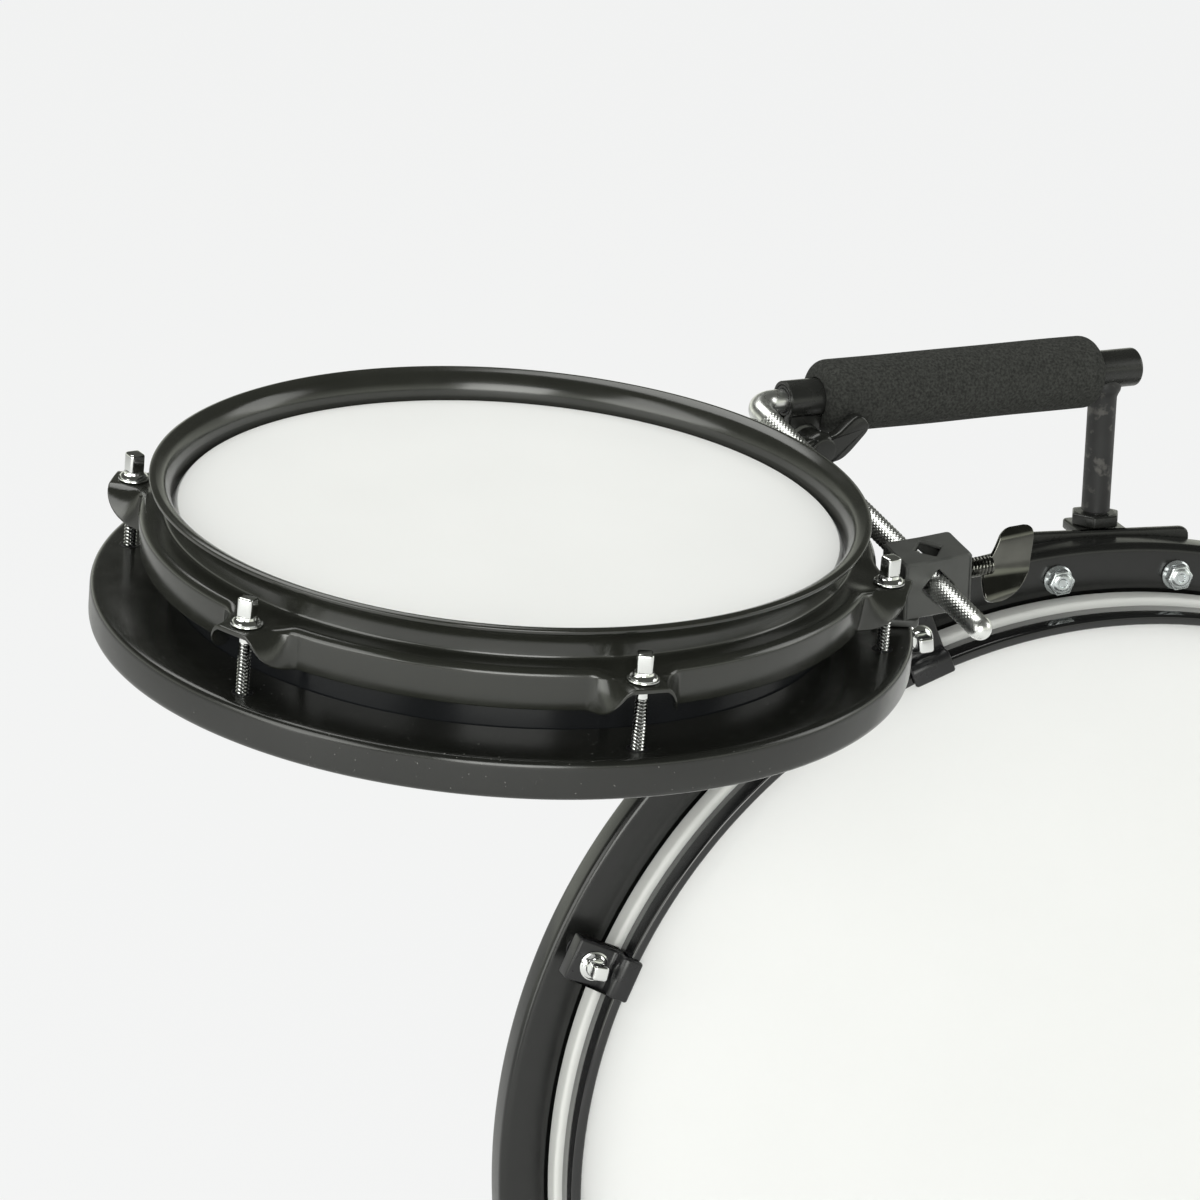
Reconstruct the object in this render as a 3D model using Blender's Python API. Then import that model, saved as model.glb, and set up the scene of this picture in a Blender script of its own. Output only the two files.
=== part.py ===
"""Travel drum kit: a small snare drum carried on an L-rod from the handle of a standing shallow bass drum.

Lengths in this file are millimetres until MM turns them into metres. +Z is up and the
player's side of the bass drum faces -Y. The origin is on the floor, under the front face
of the bass drum's mounting ring.
"""
import math

import bmesh
import bpy
import numpy as np
from mathutils import Matrix, Vector

for old in list(bpy.data.objects):
    bpy.data.objects.remove(old, do_unlink=True)

MM = 0.001

# ---- driving dimensions -------------------------------------------------------------
FIT = 0.3                     # clearance between pieces that touch
SEG = 60                      # sides of the bass drum's rings
SMALL_SEG = 48                # sides of the small drum's rings

BASS_RING_R = 257.4           # mounting ring, outer radius
RING_LIFT = 17.6              # its lowest point above the floor
AXIS_H = BASS_RING_R + RING_LIFT          # height of the bass drum's axis
BASS_RING_T = 16.0            # mounting ring, thickness
BASS_FLESH_R = 237.0          # white flesh hoop, outer radius
BASS_FLESH_FRONT = 10.3       # front of the flesh hoop, ahead of the ring's face
BASS_SHELL_R = 228.6          # shell, outer radius (an 18 in drum)
BASS_SHELL_T = 6.0
BASS_SHELL_REAR = 55.0        # rear edge of the shell, behind the ring's face
BASS_HEAD_H = 16.0            # underside of the membrane, ahead of the ring's face
BASS_HOOP_R = 234.0           # counterhoop, outer radius
BASS_HOOP_W = 4.4
BASS_HOOP_FRONT = 25.2
CLAW_COUNT = 8
CLAW_PHASE = 22.5             # degrees
CLAW_ROD_R = BASS_HOOP_R + 11.9           # circle of the bass drum's tension rods
CLAW_FACE = 20.6              # front of a claw's web, ahead of the ring's face
CLAW_SHEET = 2.4
CLAW_W = 18.0
MEMBRANE = 0.5

BRACKET_HALF = 38.0           # handle bracket, half length
BRACKET_T = 4.0
BRACKET_TOP = BASS_RING_R + 1.6           # its top above the bass drum's axis
BRACKET_BOLT_X = 26.3
BRACKET_BOLT_Z = BASS_RING_R - 13.9
POST_Y = 28.2                 # handle post, behind the ring's face
POST_R = 6.0
NUT_T = 5.0
TUBE_Z = BRACKET_TOP + 66.4   # handle tube above the bass drum's axis
TUBE_R = 8.0
TUBE_BORE_R = 6.5
TUBE_YAW = 12.0               # degrees, free end towards the player
TUBE_LEFT = 155.3             # from the post to the clamp end
TUBE_RIGHT = 14.5
GRIP_R = 15.0
GRIP_LEFT = TUBE_LEFT - 15.5  # ends of the grip from the post, towards the clamp
GRIP_RIGHT = POST_R + 0.5

ROD_R = 4.75                  # L-rod
ROD_OUT = 14.7                # corner of the L-rod beyond the tube's end
ROD_IN = 46.0                 # length inside the tube
ROD_DROP = 14.46              # degrees below level of the long leg
ROD_LEG = 187.9               # corner to tip
ROD_BEND = 10.0

SMALL_TIP_X = 6.44            # tilt towards the player, degrees
SMALL_TIP_Y = 0.45
SMALL_PHASE = 153.7
SMALL_RODS = 6
SMALL_RING_R = 158.5
SMALL_RING_TOP = -43.3        # heights in the small drum's own frame
SMALL_RING_BOT = -59.0
SMALL_SHELL_R = 127.6
SMALL_SHELL_T = 6.0
SMALL_ROD_R = SMALL_SHELL_R + 19.8        # circle of the small drum's tension rods
SMALL_HEAD_H = -10.7
BLOCK_S = 45.5                # rod block, centre from the L-rod's tip
BLOCK_OUT = 4.5196            # its centre beyond the edge of the small ring
BLOCK_BEARING = TUBE_YAW - 24.26675       # degrees round the small drum
BLOCK_RISE = 16.4925          # its centre above the small ring's top
BLOCK_D = 18.0
BLOCK_HOLE = 2 ** 0.5 * (ROD_R + FIT)      # half diagonal of its diamond openings
BLOCK_W = 2 * (BLOCK_HOLE + 7.8582)
BLOCK_H = 2 * (BLOCK_HOLE + 4.3582)
BLOCK_ROLL = 3.0              # degrees about the L-rod
LEAN = 0.17                   # how far its front face leans back, as a slope

FOOT_X = 285.0                # legs
FOOT_Y = 70.0
LEG_R = 4.75
LEG_ANGLE = 220.0             # place of the left socket round the shell, degrees
LEG_SOCKET_R = 262.0
LEG_SOCKET_Y = 36.0

FOOT_LIFT = 9.0               # end of the leg rod above the floor
SNARE_WIRES = 10
SNARE_SCREW_H = -51.0         # adjuster's screw, in the small drum's own frame

PLATE_W = 100.0               # floor plate for the pedal
PLATE_FRONT = -112.0
PLATE_T = 3.0


# ---- frames -------------------------------------------------------------------------
def frame(origin, ex, ey, ez):
    """Matrix whose columns are three unit axes, placed at origin (mm)."""
    m = Matrix.Identity(4)
    for i, axis in enumerate((ex, ey, ez)):
        for j in range(3):
            m[j][i] = axis[j]
    for j in range(3):
        m[j][3] = origin[j]
    return m


BASS = frame((0, 0, AXIS_H), Vector((1, 0, 0)), Vector((0, 0, 1)), Vector((0, -1, 0)))
_n = (Matrix.Rotation(math.radians(SMALL_TIP_Y), 3, 'Y')
      @ Matrix.Rotation(math.radians(SMALL_TIP_X), 3, 'X') @ Vector((0, 0, 1))).normalized()
_u = (Vector((1, 0, 0)) - _n * _n.x).normalized()
_v = _n.cross(_u)

_yaw = math.radians(TUBE_YAW)
POST_AT = Vector((0, POST_Y, AXIS_H))
ALONG = Vector((-math.cos(_yaw), -math.sin(_yaw), 0))       # along the tube, to its clamp end
ACROSS = Vector((math.sin(_yaw), -math.cos(_yaw), 0))       # level, towards the player
UP = Vector((0, 0, 1))
TUBE_AT = POST_AT + UP * TUBE_Z
TUBE = frame(TUBE_AT, ALONG, ACROSS, UP)                    # x along, y to the player, z up
CORNER = TUBE_AT + ALONG * (TUBE_LEFT + ROD_OUT)
_drop = math.radians(ROD_DROP)
LEG_DIR = (ACROSS * math.cos(_drop) - UP * math.sin(_drop)).normalized()
TIP = CORNER + LEG_DIR * ROD_LEG
BLOCK_AT = TIP - LEG_DIR * BLOCK_S
_b = math.radians(BLOCK_BEARING)
SMALL = frame(BLOCK_AT - (_u * math.cos(_b) + _v * math.sin(_b)) * (SMALL_RING_R + BLOCK_OUT)
              - _n * (SMALL_RING_TOP + BLOCK_RISE), _u, _v, _n)


# ---- building helpers ---------------------------------------------------------------
def finish(name, bm, m, color, rough, metal=0.0):
    """Turns a bmesh in frame millimetres into an object in metres with its own material."""
    bmesh.ops.remove_doubles(bm, verts=bm.verts, dist=0.0005)
    bmesh.ops.transform(bm, matrix=m, verts=bm.verts)
    bmesh.ops.scale(bm, vec=(MM, MM, MM), verts=bm.verts)
    bmesh.ops.recalc_face_normals(bm, faces=bm.faces)
    mesh = bpy.data.meshes.new(name)
    bm.to_mesh(mesh)
    bm.free()
    obj = bpy.data.objects.new(name, mesh)
    bpy.context.scene.collection.objects.link(obj)
    mat = bpy.data.materials.new(name)
    mat.use_nodes = True
    bsdf = mat.node_tree.nodes.get("Principled BSDF")
    bsdf.inputs["Base Color"].default_value = (*color, 1)
    bsdf.inputs["Roughness"].default_value = rough
    bsdf.inputs["Metallic"].default_value = metal
    mesh.materials.append(mat)
    return obj


def cutter(name, bm, m):
    """A hidden object used only by Boolean modifiers."""
    obj = finish(name, bm, m, (1, 0, 0), 0.5)
    obj.data.materials.clear()
    obj.hide_render = True
    obj.display_type = 'WIRE'
    return obj


def boolean(obj, other, how):
    mod = obj.modifiers.new(how.lower(), 'BOOLEAN')
    mod.operation = how
    mod.solver = 'EXACT'
    mod.object = other


def revolve(bm, profile, seg=SEG, phase=0.0, shift=None):
    """Adds a closed (r, z) loop turned about z; points on the axis become one vertex."""
    rows = []
    for k in range(seg):
        a = math.radians(phase) + 2 * math.pi * k / seg
        row = []
        for i, (r, z) in enumerate(profile):
            if r < 1e-6:
                row.append(rows[0][i] if rows else bm.verts.new((0, 0, z)))
            else:
                row.append(bm.verts.new((r * math.cos(a), r * math.sin(a), z)))
        rows.append(row)
    n = len(profile)
    for k in range(seg):
        a, b = rows[k], rows[(k + 1) % seg]
        for i in range(n):
            j = (i + 1) % n
            quad = []
            for v in (a[i], a[j], b[j], b[i]):
                if v not in quad:
                    quad.append(v)
            if len(quad) > 2:
                bm.faces.new(quad)
    if shift is not None:
        verts = {v for row in rows for v in row}
        bmesh.ops.transform(bm, matrix=shift, verts=list(verts))


def prism(bm, outline, z0, z1, shift=None):
    """Adds a closed prism over a flat (x, y) outline."""
    low = [bm.verts.new((x, y, z0)) for x, y in outline]
    top = [bm.verts.new((x, y, z1)) for x, y in outline]
    n = len(outline)
    bm.faces.new(low[::-1])
    bm.faces.new(top)
    for i in range(n):
        j = (i + 1) % n
        bm.faces.new((low[i], low[j], top[j], top[i]))
    if shift is not None:
        bmesh.ops.transform(bm, matrix=shift, verts=low + top)


def box(bm, x0, x1, y0, y1, z0, z1, shift=None):
    prism(bm, [(x0, y0), (x1, y0), (x1, y1), (x0, y1)], z0, z1, shift)


def rod(bm, r, z0, z1, seg=16, shift=None, at=(0, 0)):
    prism(bm, [(at[0] + r * math.cos(2 * math.pi * k / seg), at[1] + r * math.sin(2 * math.pi * k / seg))
               for k in range(seg)], z0, z1, shift)


def rounded(w, h, r, steps=4):
    """Outline of a rectangle w by h about the origin with rounded corners."""
    pts = []
    for cx, cy, a0 in ((w / 2 - r, h / 2 - r, 0), (r - w / 2, h / 2 - r, 90),
                       (r - w / 2, r - h / 2, 180), (w / 2 - r, r - h / 2, 270)):
        for s in range(steps + 1):
            a = math.radians(a0 + 90 * s / steps)
            pts.append((cx + r * math.cos(a), cy + r * math.sin(a)))
    return pts


def axes(origin, ez, ex):
    """Frame with z along ez and x as near ex as it can be."""
    ez = ez.normalized()
    ex = (ex - ez * ex.dot(ez)).normalized()
    return frame(origin, ex, ez.cross(ex), ez)


def polar(r, deg, h=0.0):
    a = math.radians(deg)
    return Vector((r * math.cos(a), r * math.sin(a), h))


BLACK = (0.012, 0.012, 0.012)
CHROME = (0.6, 0.61, 0.62)
WHITE = (0.85, 0.85, 0.82)


# ---- bass drum ----------------------------------------------------------------------
# Mounting ring: a painted wooden annulus with rounded edges, drilled for eight tension
# rods, the two bolts of the handle bracket and the two bolts of the floor plate.
R, T = BASS_RING_R, BASS_RING_T
bm = bmesh.new()
RI = BASS_FLESH_R + 1.3
revolve(bm, [(RI, 0), (R - 3, 0), (R - 0.9, -0.9), (R, -3), (R, -T + 6), (R - 0.8, -T + 3),
             (R - 3, -T + 0.8), (R - 6, -T), (BASS_SHELL_R + FIT, -T), (BASS_SHELL_R + FIT, -5.0), (RI, -5.0)])
bass_ring = finish("bass_ring", bm, BASS, BLACK, 0.35)
bm = bmesh.new()
for k in range(CLAW_COUNT):
    p = polar(CLAW_ROD_R, CLAW_PHASE + 360 * k / CLAW_COUNT)
    rod(bm, 2.8, -12.5, 5, 12, at=(p.x, p.y))
for sx in (-1, 1):
    rod(bm, 3.3, -T - 5, 5, 12, at=(sx * BRACKET_BOLT_X, BRACKET_BOLT_Z))
    rod(bm, 3.3, -T - 5, 5, 12, at=(sx * BRACKET_BOLT_X, -BRACKET_BOLT_Z))
boolean(bass_ring, cutter("cut_bass_ring", bm, BASS), 'DIFFERENCE')

# Shell: a thin cylinder with a rounded bearing edge, passing through the ring.
R, T = BASS_SHELL_R, BASS_SHELL_T
E = BASS_HEAD_H - FIT
bm = bmesh.new()
revolve(bm, [(R - T, -BASS_SHELL_REAR), (R, -BASS_SHELL_REAR), (R, E - 2.6), (R - 1.6, E), (R - T, E - 3.2)])
finish("bass_shell", bm, BASS, BLACK, 0.45)

# Head: membrane, collar and white flesh hoop in one piece.
H, t = BASS_HEAD_H, MEMBRANE
bm = bmesh.new()
revolve(bm, [(0, H), (R - 1.2, H), (R + FIT, H - 2.8), (R + FIT, -1.0), (BASS_FLESH_R, -1.0),
             (BASS_FLESH_R, BASS_FLESH_FRONT), (R + FIT + t, BASS_FLESH_FRONT), (R + FIT + t, H - 2.4),
             (R - 0.8, H + t), (0, H + t)])
finish("bass_head", bm, BASS, WHITE, 0.5)

# Counterhoop.
R, W, F = BASS_HOOP_R, BASS_HOOP_W, BASS_HOOP_FRONT
B = BASS_FLESH_FRONT + FIT
bm = bmesh.new()
revolve(bm, [(R - W, B), (R, B), (R, F - 1.2), (R - 1.2, F), (R - W + 1.4, F), (R - W, F - 1.4)])
finish("bass_hoop", bm, BASS, BLACK, 0.15)

# Claws and their square-headed tension rods.
for k in range(CLAW_COUNT):
    a = CLAW_PHASE + 360 * k / CLAW_COUNT
    at = BASS @ polar(0, 0)
    out = (BASS.to_3x3() @ polar(1, a)).normalized()
    side = (BASS.to_3x3() @ polar(1, a + 90)).normalized()
    fwd = Vector((0, -1, 0))
    # x outward, y forward, z sideways
    m = frame(at, out, fwd, out.cross(fwd))
    g = R + 0.9
    bm = bmesh.new()
    t, P, O = CLAW_SHEET, CLAW_FACE, CLAW_ROD_R + 7.5
    prism(bm, [(R - W - 0.6, F + 0.5), (g, F + 0.5), (g, 12.0), (g + t, 12.0), (g + t, P - t), (O, P - t),
               (O, 12.0), (O + 2.2, 12.0), (O + 2.2, P), (g + t + 0.8, P), (g + t, P + 0.8), (g + t, F + 1.6),
               (g + 1.2, F + 2.9), (R - W - 0.6, F + 2.9)], -CLAW_W / 2, CLAW_W / 2)
    claw = finish(f"bass_claw_{k + 1}", bm, m, BLACK, 0.3, 0.4)
    bm = bmesh.new()
    rod(bm, 3.0, 10, CLAW_FACE + 10, 12)
    boolean(claw, cutter(f"cut_claw_{k + 1}", bm, axes(at + out * CLAW_ROD_R, fwd, out)), 'DIFFERENCE')
    bm = bmesh.new()
    rot = Matrix.Rotation(math.radians(20 + 27 * k), 4, 'Z')
    b = CLAW_FACE + 0.4
    revolve(bm, [(0, -12), (2.5, -12), (2.5, b), (6.2, b), (6.2, b + 1.6), (3.6, b + 3.4), (0, b + 3.4)], 10)
    shank = finish(f"bass_rod_{k + 1}", bm, axes(at + out * CLAW_ROD_R, fwd, out), CHROME, 0.12, 1.0)
    bm = bmesh.new()
    prism(bm, rounded(6.4, 6.4, 1.0, 1), b + 2.6, b + 10.6, rot)
    boolean(shank, cutter(f"add_rod_{k + 1}", bm, axes(at + out * CLAW_ROD_R, fwd, out)), 'UNION')


# ---- handle -------------------------------------------------------------------------
# Bracket: an upright plate bolted behind the ring, with a tab bent back that carries the post.
T = BASS_RING_T + FIT
top, low = BRACKET_TOP, BRACKET_BOLT_Z - 8.5
m = frame((0, 0, AXIS_H), Vector((1, 0, 0)), Vector((0, 0, 1)), Vector((0, -1, 0)))
bm = bmesh.new()
c = 4.0
prism(bm, [(-BRACKET_HALF, low + c), (-BRACKET_HALF + 1.2, low + 1.2), (-BRACKET_HALF + c, low),
           (BRACKET_HALF - c, low), (BRACKET_HALF - 1.2, low + 1.2), (BRACKET_HALF, low + c),
           (BRACKET_HALF, top - c), (BRACKET_HALF - 1.2, top - 1.2), (BRACKET_HALF - c, top),
           (-BRACKET_HALF + c, top), (-BRACKET_HALF + 1.2, top - 1.2), (-BRACKET_HALF, top - c)],
      -T - BRACKET_T, -T)
bracket = finish("handle_bracket", bm, m, BLACK, 0.4, 0.3)
bm = bmesh.new()
tab = [(-11, -T - 1), (11, -T - 1), (11, -POST_Y - 7), (7, -POST_Y - 11), (-7, -POST_Y - 11), (-11, -POST_Y - 7)]
prism(bm, [(x, -y) for x, y in tab], top - BRACKET_T, top)
boolean(bracket, cutter("add_tab", bm, frame((0, 0, AXIS_H), Vector((1, 0, 0)), Vector((0, 1, 0)), UP)), 'UNION')
bm = bmesh.new()
for sx in (-1, 1):
    rod(bm, 3.3, -T - 10, -T + 5, 12, at=(sx * BRACKET_BOLT_X, BRACKET_BOLT_Z))
boolean(bracket, cutter("cut_bracket", bm, m), 'DIFFERENCE')
bm = bmesh.new()
rod(bm, 5.3, top - 12, top + 5, 20, at=(0, POST_Y))
boolean(bracket, cutter("cut_tab", bm, frame((0, 0, AXIS_H), Vector((1, 0, 0)), Vector((0, 1, 0)), UP)), 'DIFFERENCE')


def hex_bolt(name, x, z, y_face, y_end):
    """Hexagon bolt with a round flange, its head towards the player."""
    at = axes(Vector((x, y_face, AXIS_H + z)), Vector((0, -1, 0)), Vector((1, 0, 0)))
    bm = bmesh.new()
    revolve(bm, [(0, -y_end), (3.0, -y_end), (3.0, FIT), (6.3, FIT), (6.3, 1.4), (4.9, 2.4), (0, 2.4)], 16)
    bolt = finish(name, bm, at, (0.62, 0.63, 0.64), 0.25, 1.0)
    bm = bmesh.new()
    rod(bm, 5.0 / math.cos(math.pi / 6), 2.0, 6.4, 6)
    boolean(bolt, cutter("add_" + name, bm, at), 'UNION')


for i, sx in enumerate((-1, 1)):
    hex_bolt(f"handle_bolt_{i + 1}", sx * BRACKET_BOLT_X, BRACKET_BOLT_Z, 0, 23.0)

# Jam nut on the tab.
bm = bmesh.new()
rod(bm, 9.5 / math.cos(math.pi / 6), BRACKET_TOP + FIT, BRACKET_TOP + NUT_T, 6,
    Matrix.Rotation(math.radians(12), 4, 'Z'))
nut = finish("handle_jam_nut", bm, frame(POST_AT, Vector((1, 0, 0)), Vector((0, 1, 0)), UP), BLACK, 0.4, 0.5)
bm = bmesh.new()
rod(bm, 5.3, BRACKET_TOP - 5, BRACKET_TOP + 20, 20)
boolean(nut, cutter("cut_nut", bm, frame(POST_AT, Vector((1, 0, 0)), Vector((0, 1, 0)), UP)), 'DIFFERENCE')

# Handle frame: post, tube and the two clamp ears welded together, bored for the L-rod's bush.
xdir = frame((0, 0, 0), Vector((0, 1, 0)), Vector((0, 0, 1)), Vector((1, 0, 0)))
bm = bmesh.new()
rod(bm, TUBE_R, -TUBE_RIGHT, TUBE_LEFT, 24, xdir)
handle = finish("handle_frame", bm, TUBE, BLACK, 0.4, 0.3)
bm = bmesh.new()
revolve(bm, [(0, BRACKET_TOP - 6), (5.0, BRACKET_TOP - 6), (5.0, BRACKET_TOP + NUT_T + FIT),
             (POST_R, BRACKET_TOP + NUT_T + FIT), (POST_R, TUBE_Z - 4), (0, TUBE_Z - 4)], 20)
boolean(handle, cutter("add_post", bm, frame(POST_AT, ALONG, ACROSS, UP)), 'UNION')
EAR_X0, EAR_X1, EAR_LOW, EAR_HALF, SLOT = TUBE_LEFT - 15.0, TUBE_LEFT - 0.2, -24.0, 6.0, 1.6
bm = bmesh.new()
prism(bm, [(EAR_X0, 0), (EAR_X0, EAR_LOW + 5), (EAR_X0 + 5, EAR_LOW), (EAR_X1 - 5, EAR_LOW), (EAR_X1, EAR_LOW + 5),
           (EAR_X1, 0)], -EAR_HALF, EAR_HALF,
      frame((0, 0, 0), Vector((1, 0, 0)), Vector((0, 0, 1)), Vector((0, -1, 0))))
boolean(handle, cutter("add_ears", bm, TUBE), 'UNION')
bm = bmesh.new()
rod(bm, TUBE_BORE_R, 20, TUBE_LEFT + 5, 24, xdir)
boolean(handle, cutter("cut_bore", bm, TUBE), 'DIFFERENCE')
bm = bmesh.new()
box(bm, EAR_X0 - 16, EAR_X1 + 5, -SLOT, SLOT, EAR_LOW - 5, -TUBE_BORE_R + 2.5)
boolean(handle, cutter("cut_slot", bm, TUBE), 'DIFFERENCE')
CLAMP_X, CLAMP_Z = TUBE_LEFT - 7.5, -16.5
CLAMP = axes(TUBE @ Vector((CLAMP_X, 0, CLAMP_Z)), ACROSS, ALONG)
bm = bmesh.new()
rod(bm, 2.8, -20, 20, 12)
boolean(handle, cutter("cut_clamp", bm, CLAMP), 'DIFFERENCE')

# Foam grip.
bm = bmesh.new()
G0, G1, GR, GI = GRIP_RIGHT, GRIP_LEFT, GRIP_R, TUBE_R + 0.25
revolve(bm, [(GI, G0), (GR - 5, G0), (GR - 1.6, G0 + 1.6), (GR, G0 + 6), (GR, G1 - 6), (GR - 1.6, G1 - 1.6),
             (GR - 5, G1), (GI, G1)], 24, shift=xdir)
finish("handle_grip", bm, TUBE, (0.03, 0.031, 0.03), 0.95)

# Clamp bolt from the rear with a domed head, and the wing nut on the player's side.
bm = bmesh.new()
revolve(bm, [(0, -11.0), (3.4, -10.4), (5.6, -8.4), (6.0, -EAR_HALF - FIT), (2.5, -EAR_HALF - FIT), (2.5, 20.0),
             (0, 20.0)], 16)
finish("clamp_bolt", bm, CLAMP, CHROME, 0.15, 1.0)
bm = bmesh.new()
revolve(bm, [(2.8, EAR_HALF + FIT), (6.6, EAR_HALF + FIT), (6.6, 20.5), (5.4, 22.5), (2.8, 22.5)], 20)
wing = finish("clamp_wing", bm, CLAMP, BLACK, 0.35)
# two lobes square to the bolt; x runs to the right and y up in this outline
LOBE = [(2.0, 6.6), (6.5, 7.6), (11.5, 12.4), (14.8, 14.7), (18.6, 13.6), (21.6, 8.6), (20.4, 4.6), (12.4, -3.8), (8.4, -6.8),
        (3.0, -6.4)]
for half_turn in (0, 180):
    bm = bmesh.new()
    prism(bm, [(-x, -y) for x, y in LOBE], 16.2, 22.0, Matrix.Rotation(math.radians(half_turn), 4, 'Z'))
    boolean(wing, cutter(f"add_wing_{half_turn}", bm, CLAMP), 'UNION')

# Bush inside the tube and the bent L-rod through it.
bm = bmesh.new()
revolve(bm, [(ROD_R + FIT, TUBE_LEFT - 40), (TUBE_BORE_R - FIT, TUBE_LEFT - 40), (TUBE_BORE_R - FIT, TUBE_LEFT),
             (ROD_R + FIT, TUBE_LEFT)], 24, shift=xdir)
finish("rod_bush", bm, TUBE, (0.02, 0.02, 0.02), 0.5)

start = TUBE_AT + ALONG * (TUBE_LEFT - ROD_IN)
path = [start]
for s in range(9):
    a = math.pi / 2 * s / 8
    path.append(CORNER - ALONG * ROD_BEND * (1 - math.sin(a)) + LEG_DIR * ROD_BEND * (1 - math.cos(a)))
path.append(TIP - LEG_DIR * 3.0)
bm = bmesh.new()
side = ALONG.cross(LEG_DIR).normalized()
rows = []
for i, p in enumerate(path):
    d = ((path[i + 1] if i + 1 < len(path) else p) - (path[i - 1] if i else p)).normalized()
    if i == 1:
        d = ALONG
    if i >= len(path) - 2:
        d = LEG_DIR
    e = d.cross(side).normalized()
    rows.append([bm.verts.new(p + (side * math.cos(2 * math.pi * k / 16) + e * math.sin(2 * math.pi * k / 16)) * ROD_R)
                 for k in range(16)])
for h, r in ((1.4, 4.5), (3.2, 3.5), (4.4, 1.9)):
    e = LEG_DIR.cross(side).normalized()
    p = TIP + LEG_DIR * (h - 3.0)
    rows.append([bm.verts.new(p + (side * math.cos(2 * math.pi * k / 16) + e * math.sin(2 * math.pi * k / 16)) * r)
                 for k in range(16)])
for a, b in zip(rows, rows[1:]):
    for k in range(16):
        j = (k + 1) % 16
        bm.faces.new((a[k], a[j], b[j], b[k]))
bm.faces.new(rows[0])
bm.faces.new(rows[-1])
finish("l_rod", bm, Matrix.Identity(4), CHROME, 0.2, 1.0)


# ---- small drum ---------------------------------------------------------------------
# Base ring: a painted wooden annulus with rounded edges; six blind holes take the rods.
R, A, B = SMALL_RING_R, SMALL_RING_TOP, SMALL_RING_BOT
RI = SMALL_SHELL_R + FIT
bm = bmesh.new()
revolve(bm, [(RI, A), (R - 2.4, A), (R - 0.7, A - 0.7), (R, A - 2.4), (R, B + 2.4), (R - 0.7, B + 0.7),
             (R - 2.4, B), (RI, B)], SMALL_SEG)
small_ring = finish("small_ring", bm, SMALL, BLACK, 0.35)
bm = bmesh.new()
for k in range(SMALL_RODS):
    p = polar(SMALL_ROD_R, SMALL_PHASE + 60 * k)
    rod(bm, 2.7, B + 2.5, A + 5, 12, at=(p.x, p.y))
small_cut = cutter("cut_small_ring", bm, SMALL)
boolean(small_ring, small_cut, 'DIFFERENCE')

# Shell with a rounded bearing edge.
R, T, E = SMALL_SHELL_R, SMALL_SHELL_T, SMALL_HEAD_H - FIT
bm = bmesh.new()
revolve(bm, [(R - T, B), (R, B), (R, E - 2.3), (R - 1.4, E), (R - T, E - 3.2)], SMALL_SEG)
small_shell = finish("small_shell", bm, SMALL, BLACK, 0.45)

# Head: membrane, collar and flesh hoop.
H, t = SMALL_HEAD_H, MEMBRANE
bm = bmesh.new()
revolve(bm, [(0, H), (R - 1.0, H), (R + FIT, H - 2.5), (R + FIT, -22.0), (R + 5.6, -22.0), (R + 5.6, -17.6),
             (R + FIT + t, -17.6), (R + FIT + t, H - 2.1), (R - 0.6, H + t), (0, H + t)], SMALL_SEG)
finish("small_head", bm, SMALL, WHITE, 0.5)

# Triple-flanged hoop. Its skirt hangs down all round and swings out to a flat ear at each
# tension rod, so each section is the same closed loop with its skirt turned by ear(angle).
OFFSETS = (-26, -20, -14, -8.2, -6.2, -4.3, 0, 4.3, 6.2, 8.2, 14, 20, 26)


def ear(offset):
    """0 between rods, 1 across the ear, with a smooth rise on both sides."""
    x = min(1.0, max(0.0, (8.2 - abs(offset)) / 3.9))
    return x * x * (3 - 2 * x)


bm = bmesh.new()
rows = []
for deg, off in ((SMALL_PHASE + 60 * k + off, off) for k in range(SMALL_RODS) for off in OFFSETS):
    e = ear(off)
    swing = math.radians(-96 + 95.5 * e)         # direction of the skirt, down from level
    L = 15.2 - 2.2 * e
    cx, cz = R + 13.0 + 2.2 * e, -15.6 - 1.7 * e    # where the skirt leaves the shelf
    dx, dz = math.cos(swing), math.sin(swing)
    nx, nz = -dz, dx                             # to the outer or upper side
    o0 = (cx + nx * 1.0 + dx * 0.6, cz + nz * 1.0 + dz * 0.6)
    o1 = (cx + nx * 1.0 + dx * L, cz + nz * 1.0 + dz * L)
    i1 = (cx - nx * 1.0 + dx * L, cz - nz * 1.0 + dz * L)
    i0 = (cx - nx * 1.0 + dx * 1.4, cz - nz * 1.0 + dz * 1.4)
    loop = [(R + 10.4, -1.5), (R + 6.8, -2.8), (R + 4.0, -7.6), (R + 4.0, -13.4), (R + 12.0, -14.3 - 1.7 * e), o0, o1, i1,
            i0, (R + 10.6, -16.5 - 1.7 * e), (R + 3.2, -16.5), (R + 1.8, -15.4), (R + 1.8, -7.2), (R + 5.6, -1.4),
            (R + 9.4, 0.1)]
    a = math.radians(deg)
    rows.append([bm.verts.new((r * math.cos(a), r * math.sin(a), z)) for r, z in loop])
for k in range(len(rows)):
    a, b = rows[k], rows[(k + 1) % len(rows)]
    n = len(a)
    for i in range(n):
        j = (i + 1) % n
        bm.faces.new((a[i], a[j], b[j], b[i]))
small_hoop = finish("small_hoop", bm, SMALL, BLACK, 0.3, 0.3)
bm = bmesh.new()
for k in range(SMALL_RODS):
    p = polar(SMALL_ROD_R, SMALL_PHASE + 60 * k)
    rod(bm, 3.0, -26, -5, 12, at=(p.x, p.y))
boolean(small_hoop, cutter("cut_small_hoop", bm, SMALL), 'DIFFERENCE')

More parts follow.
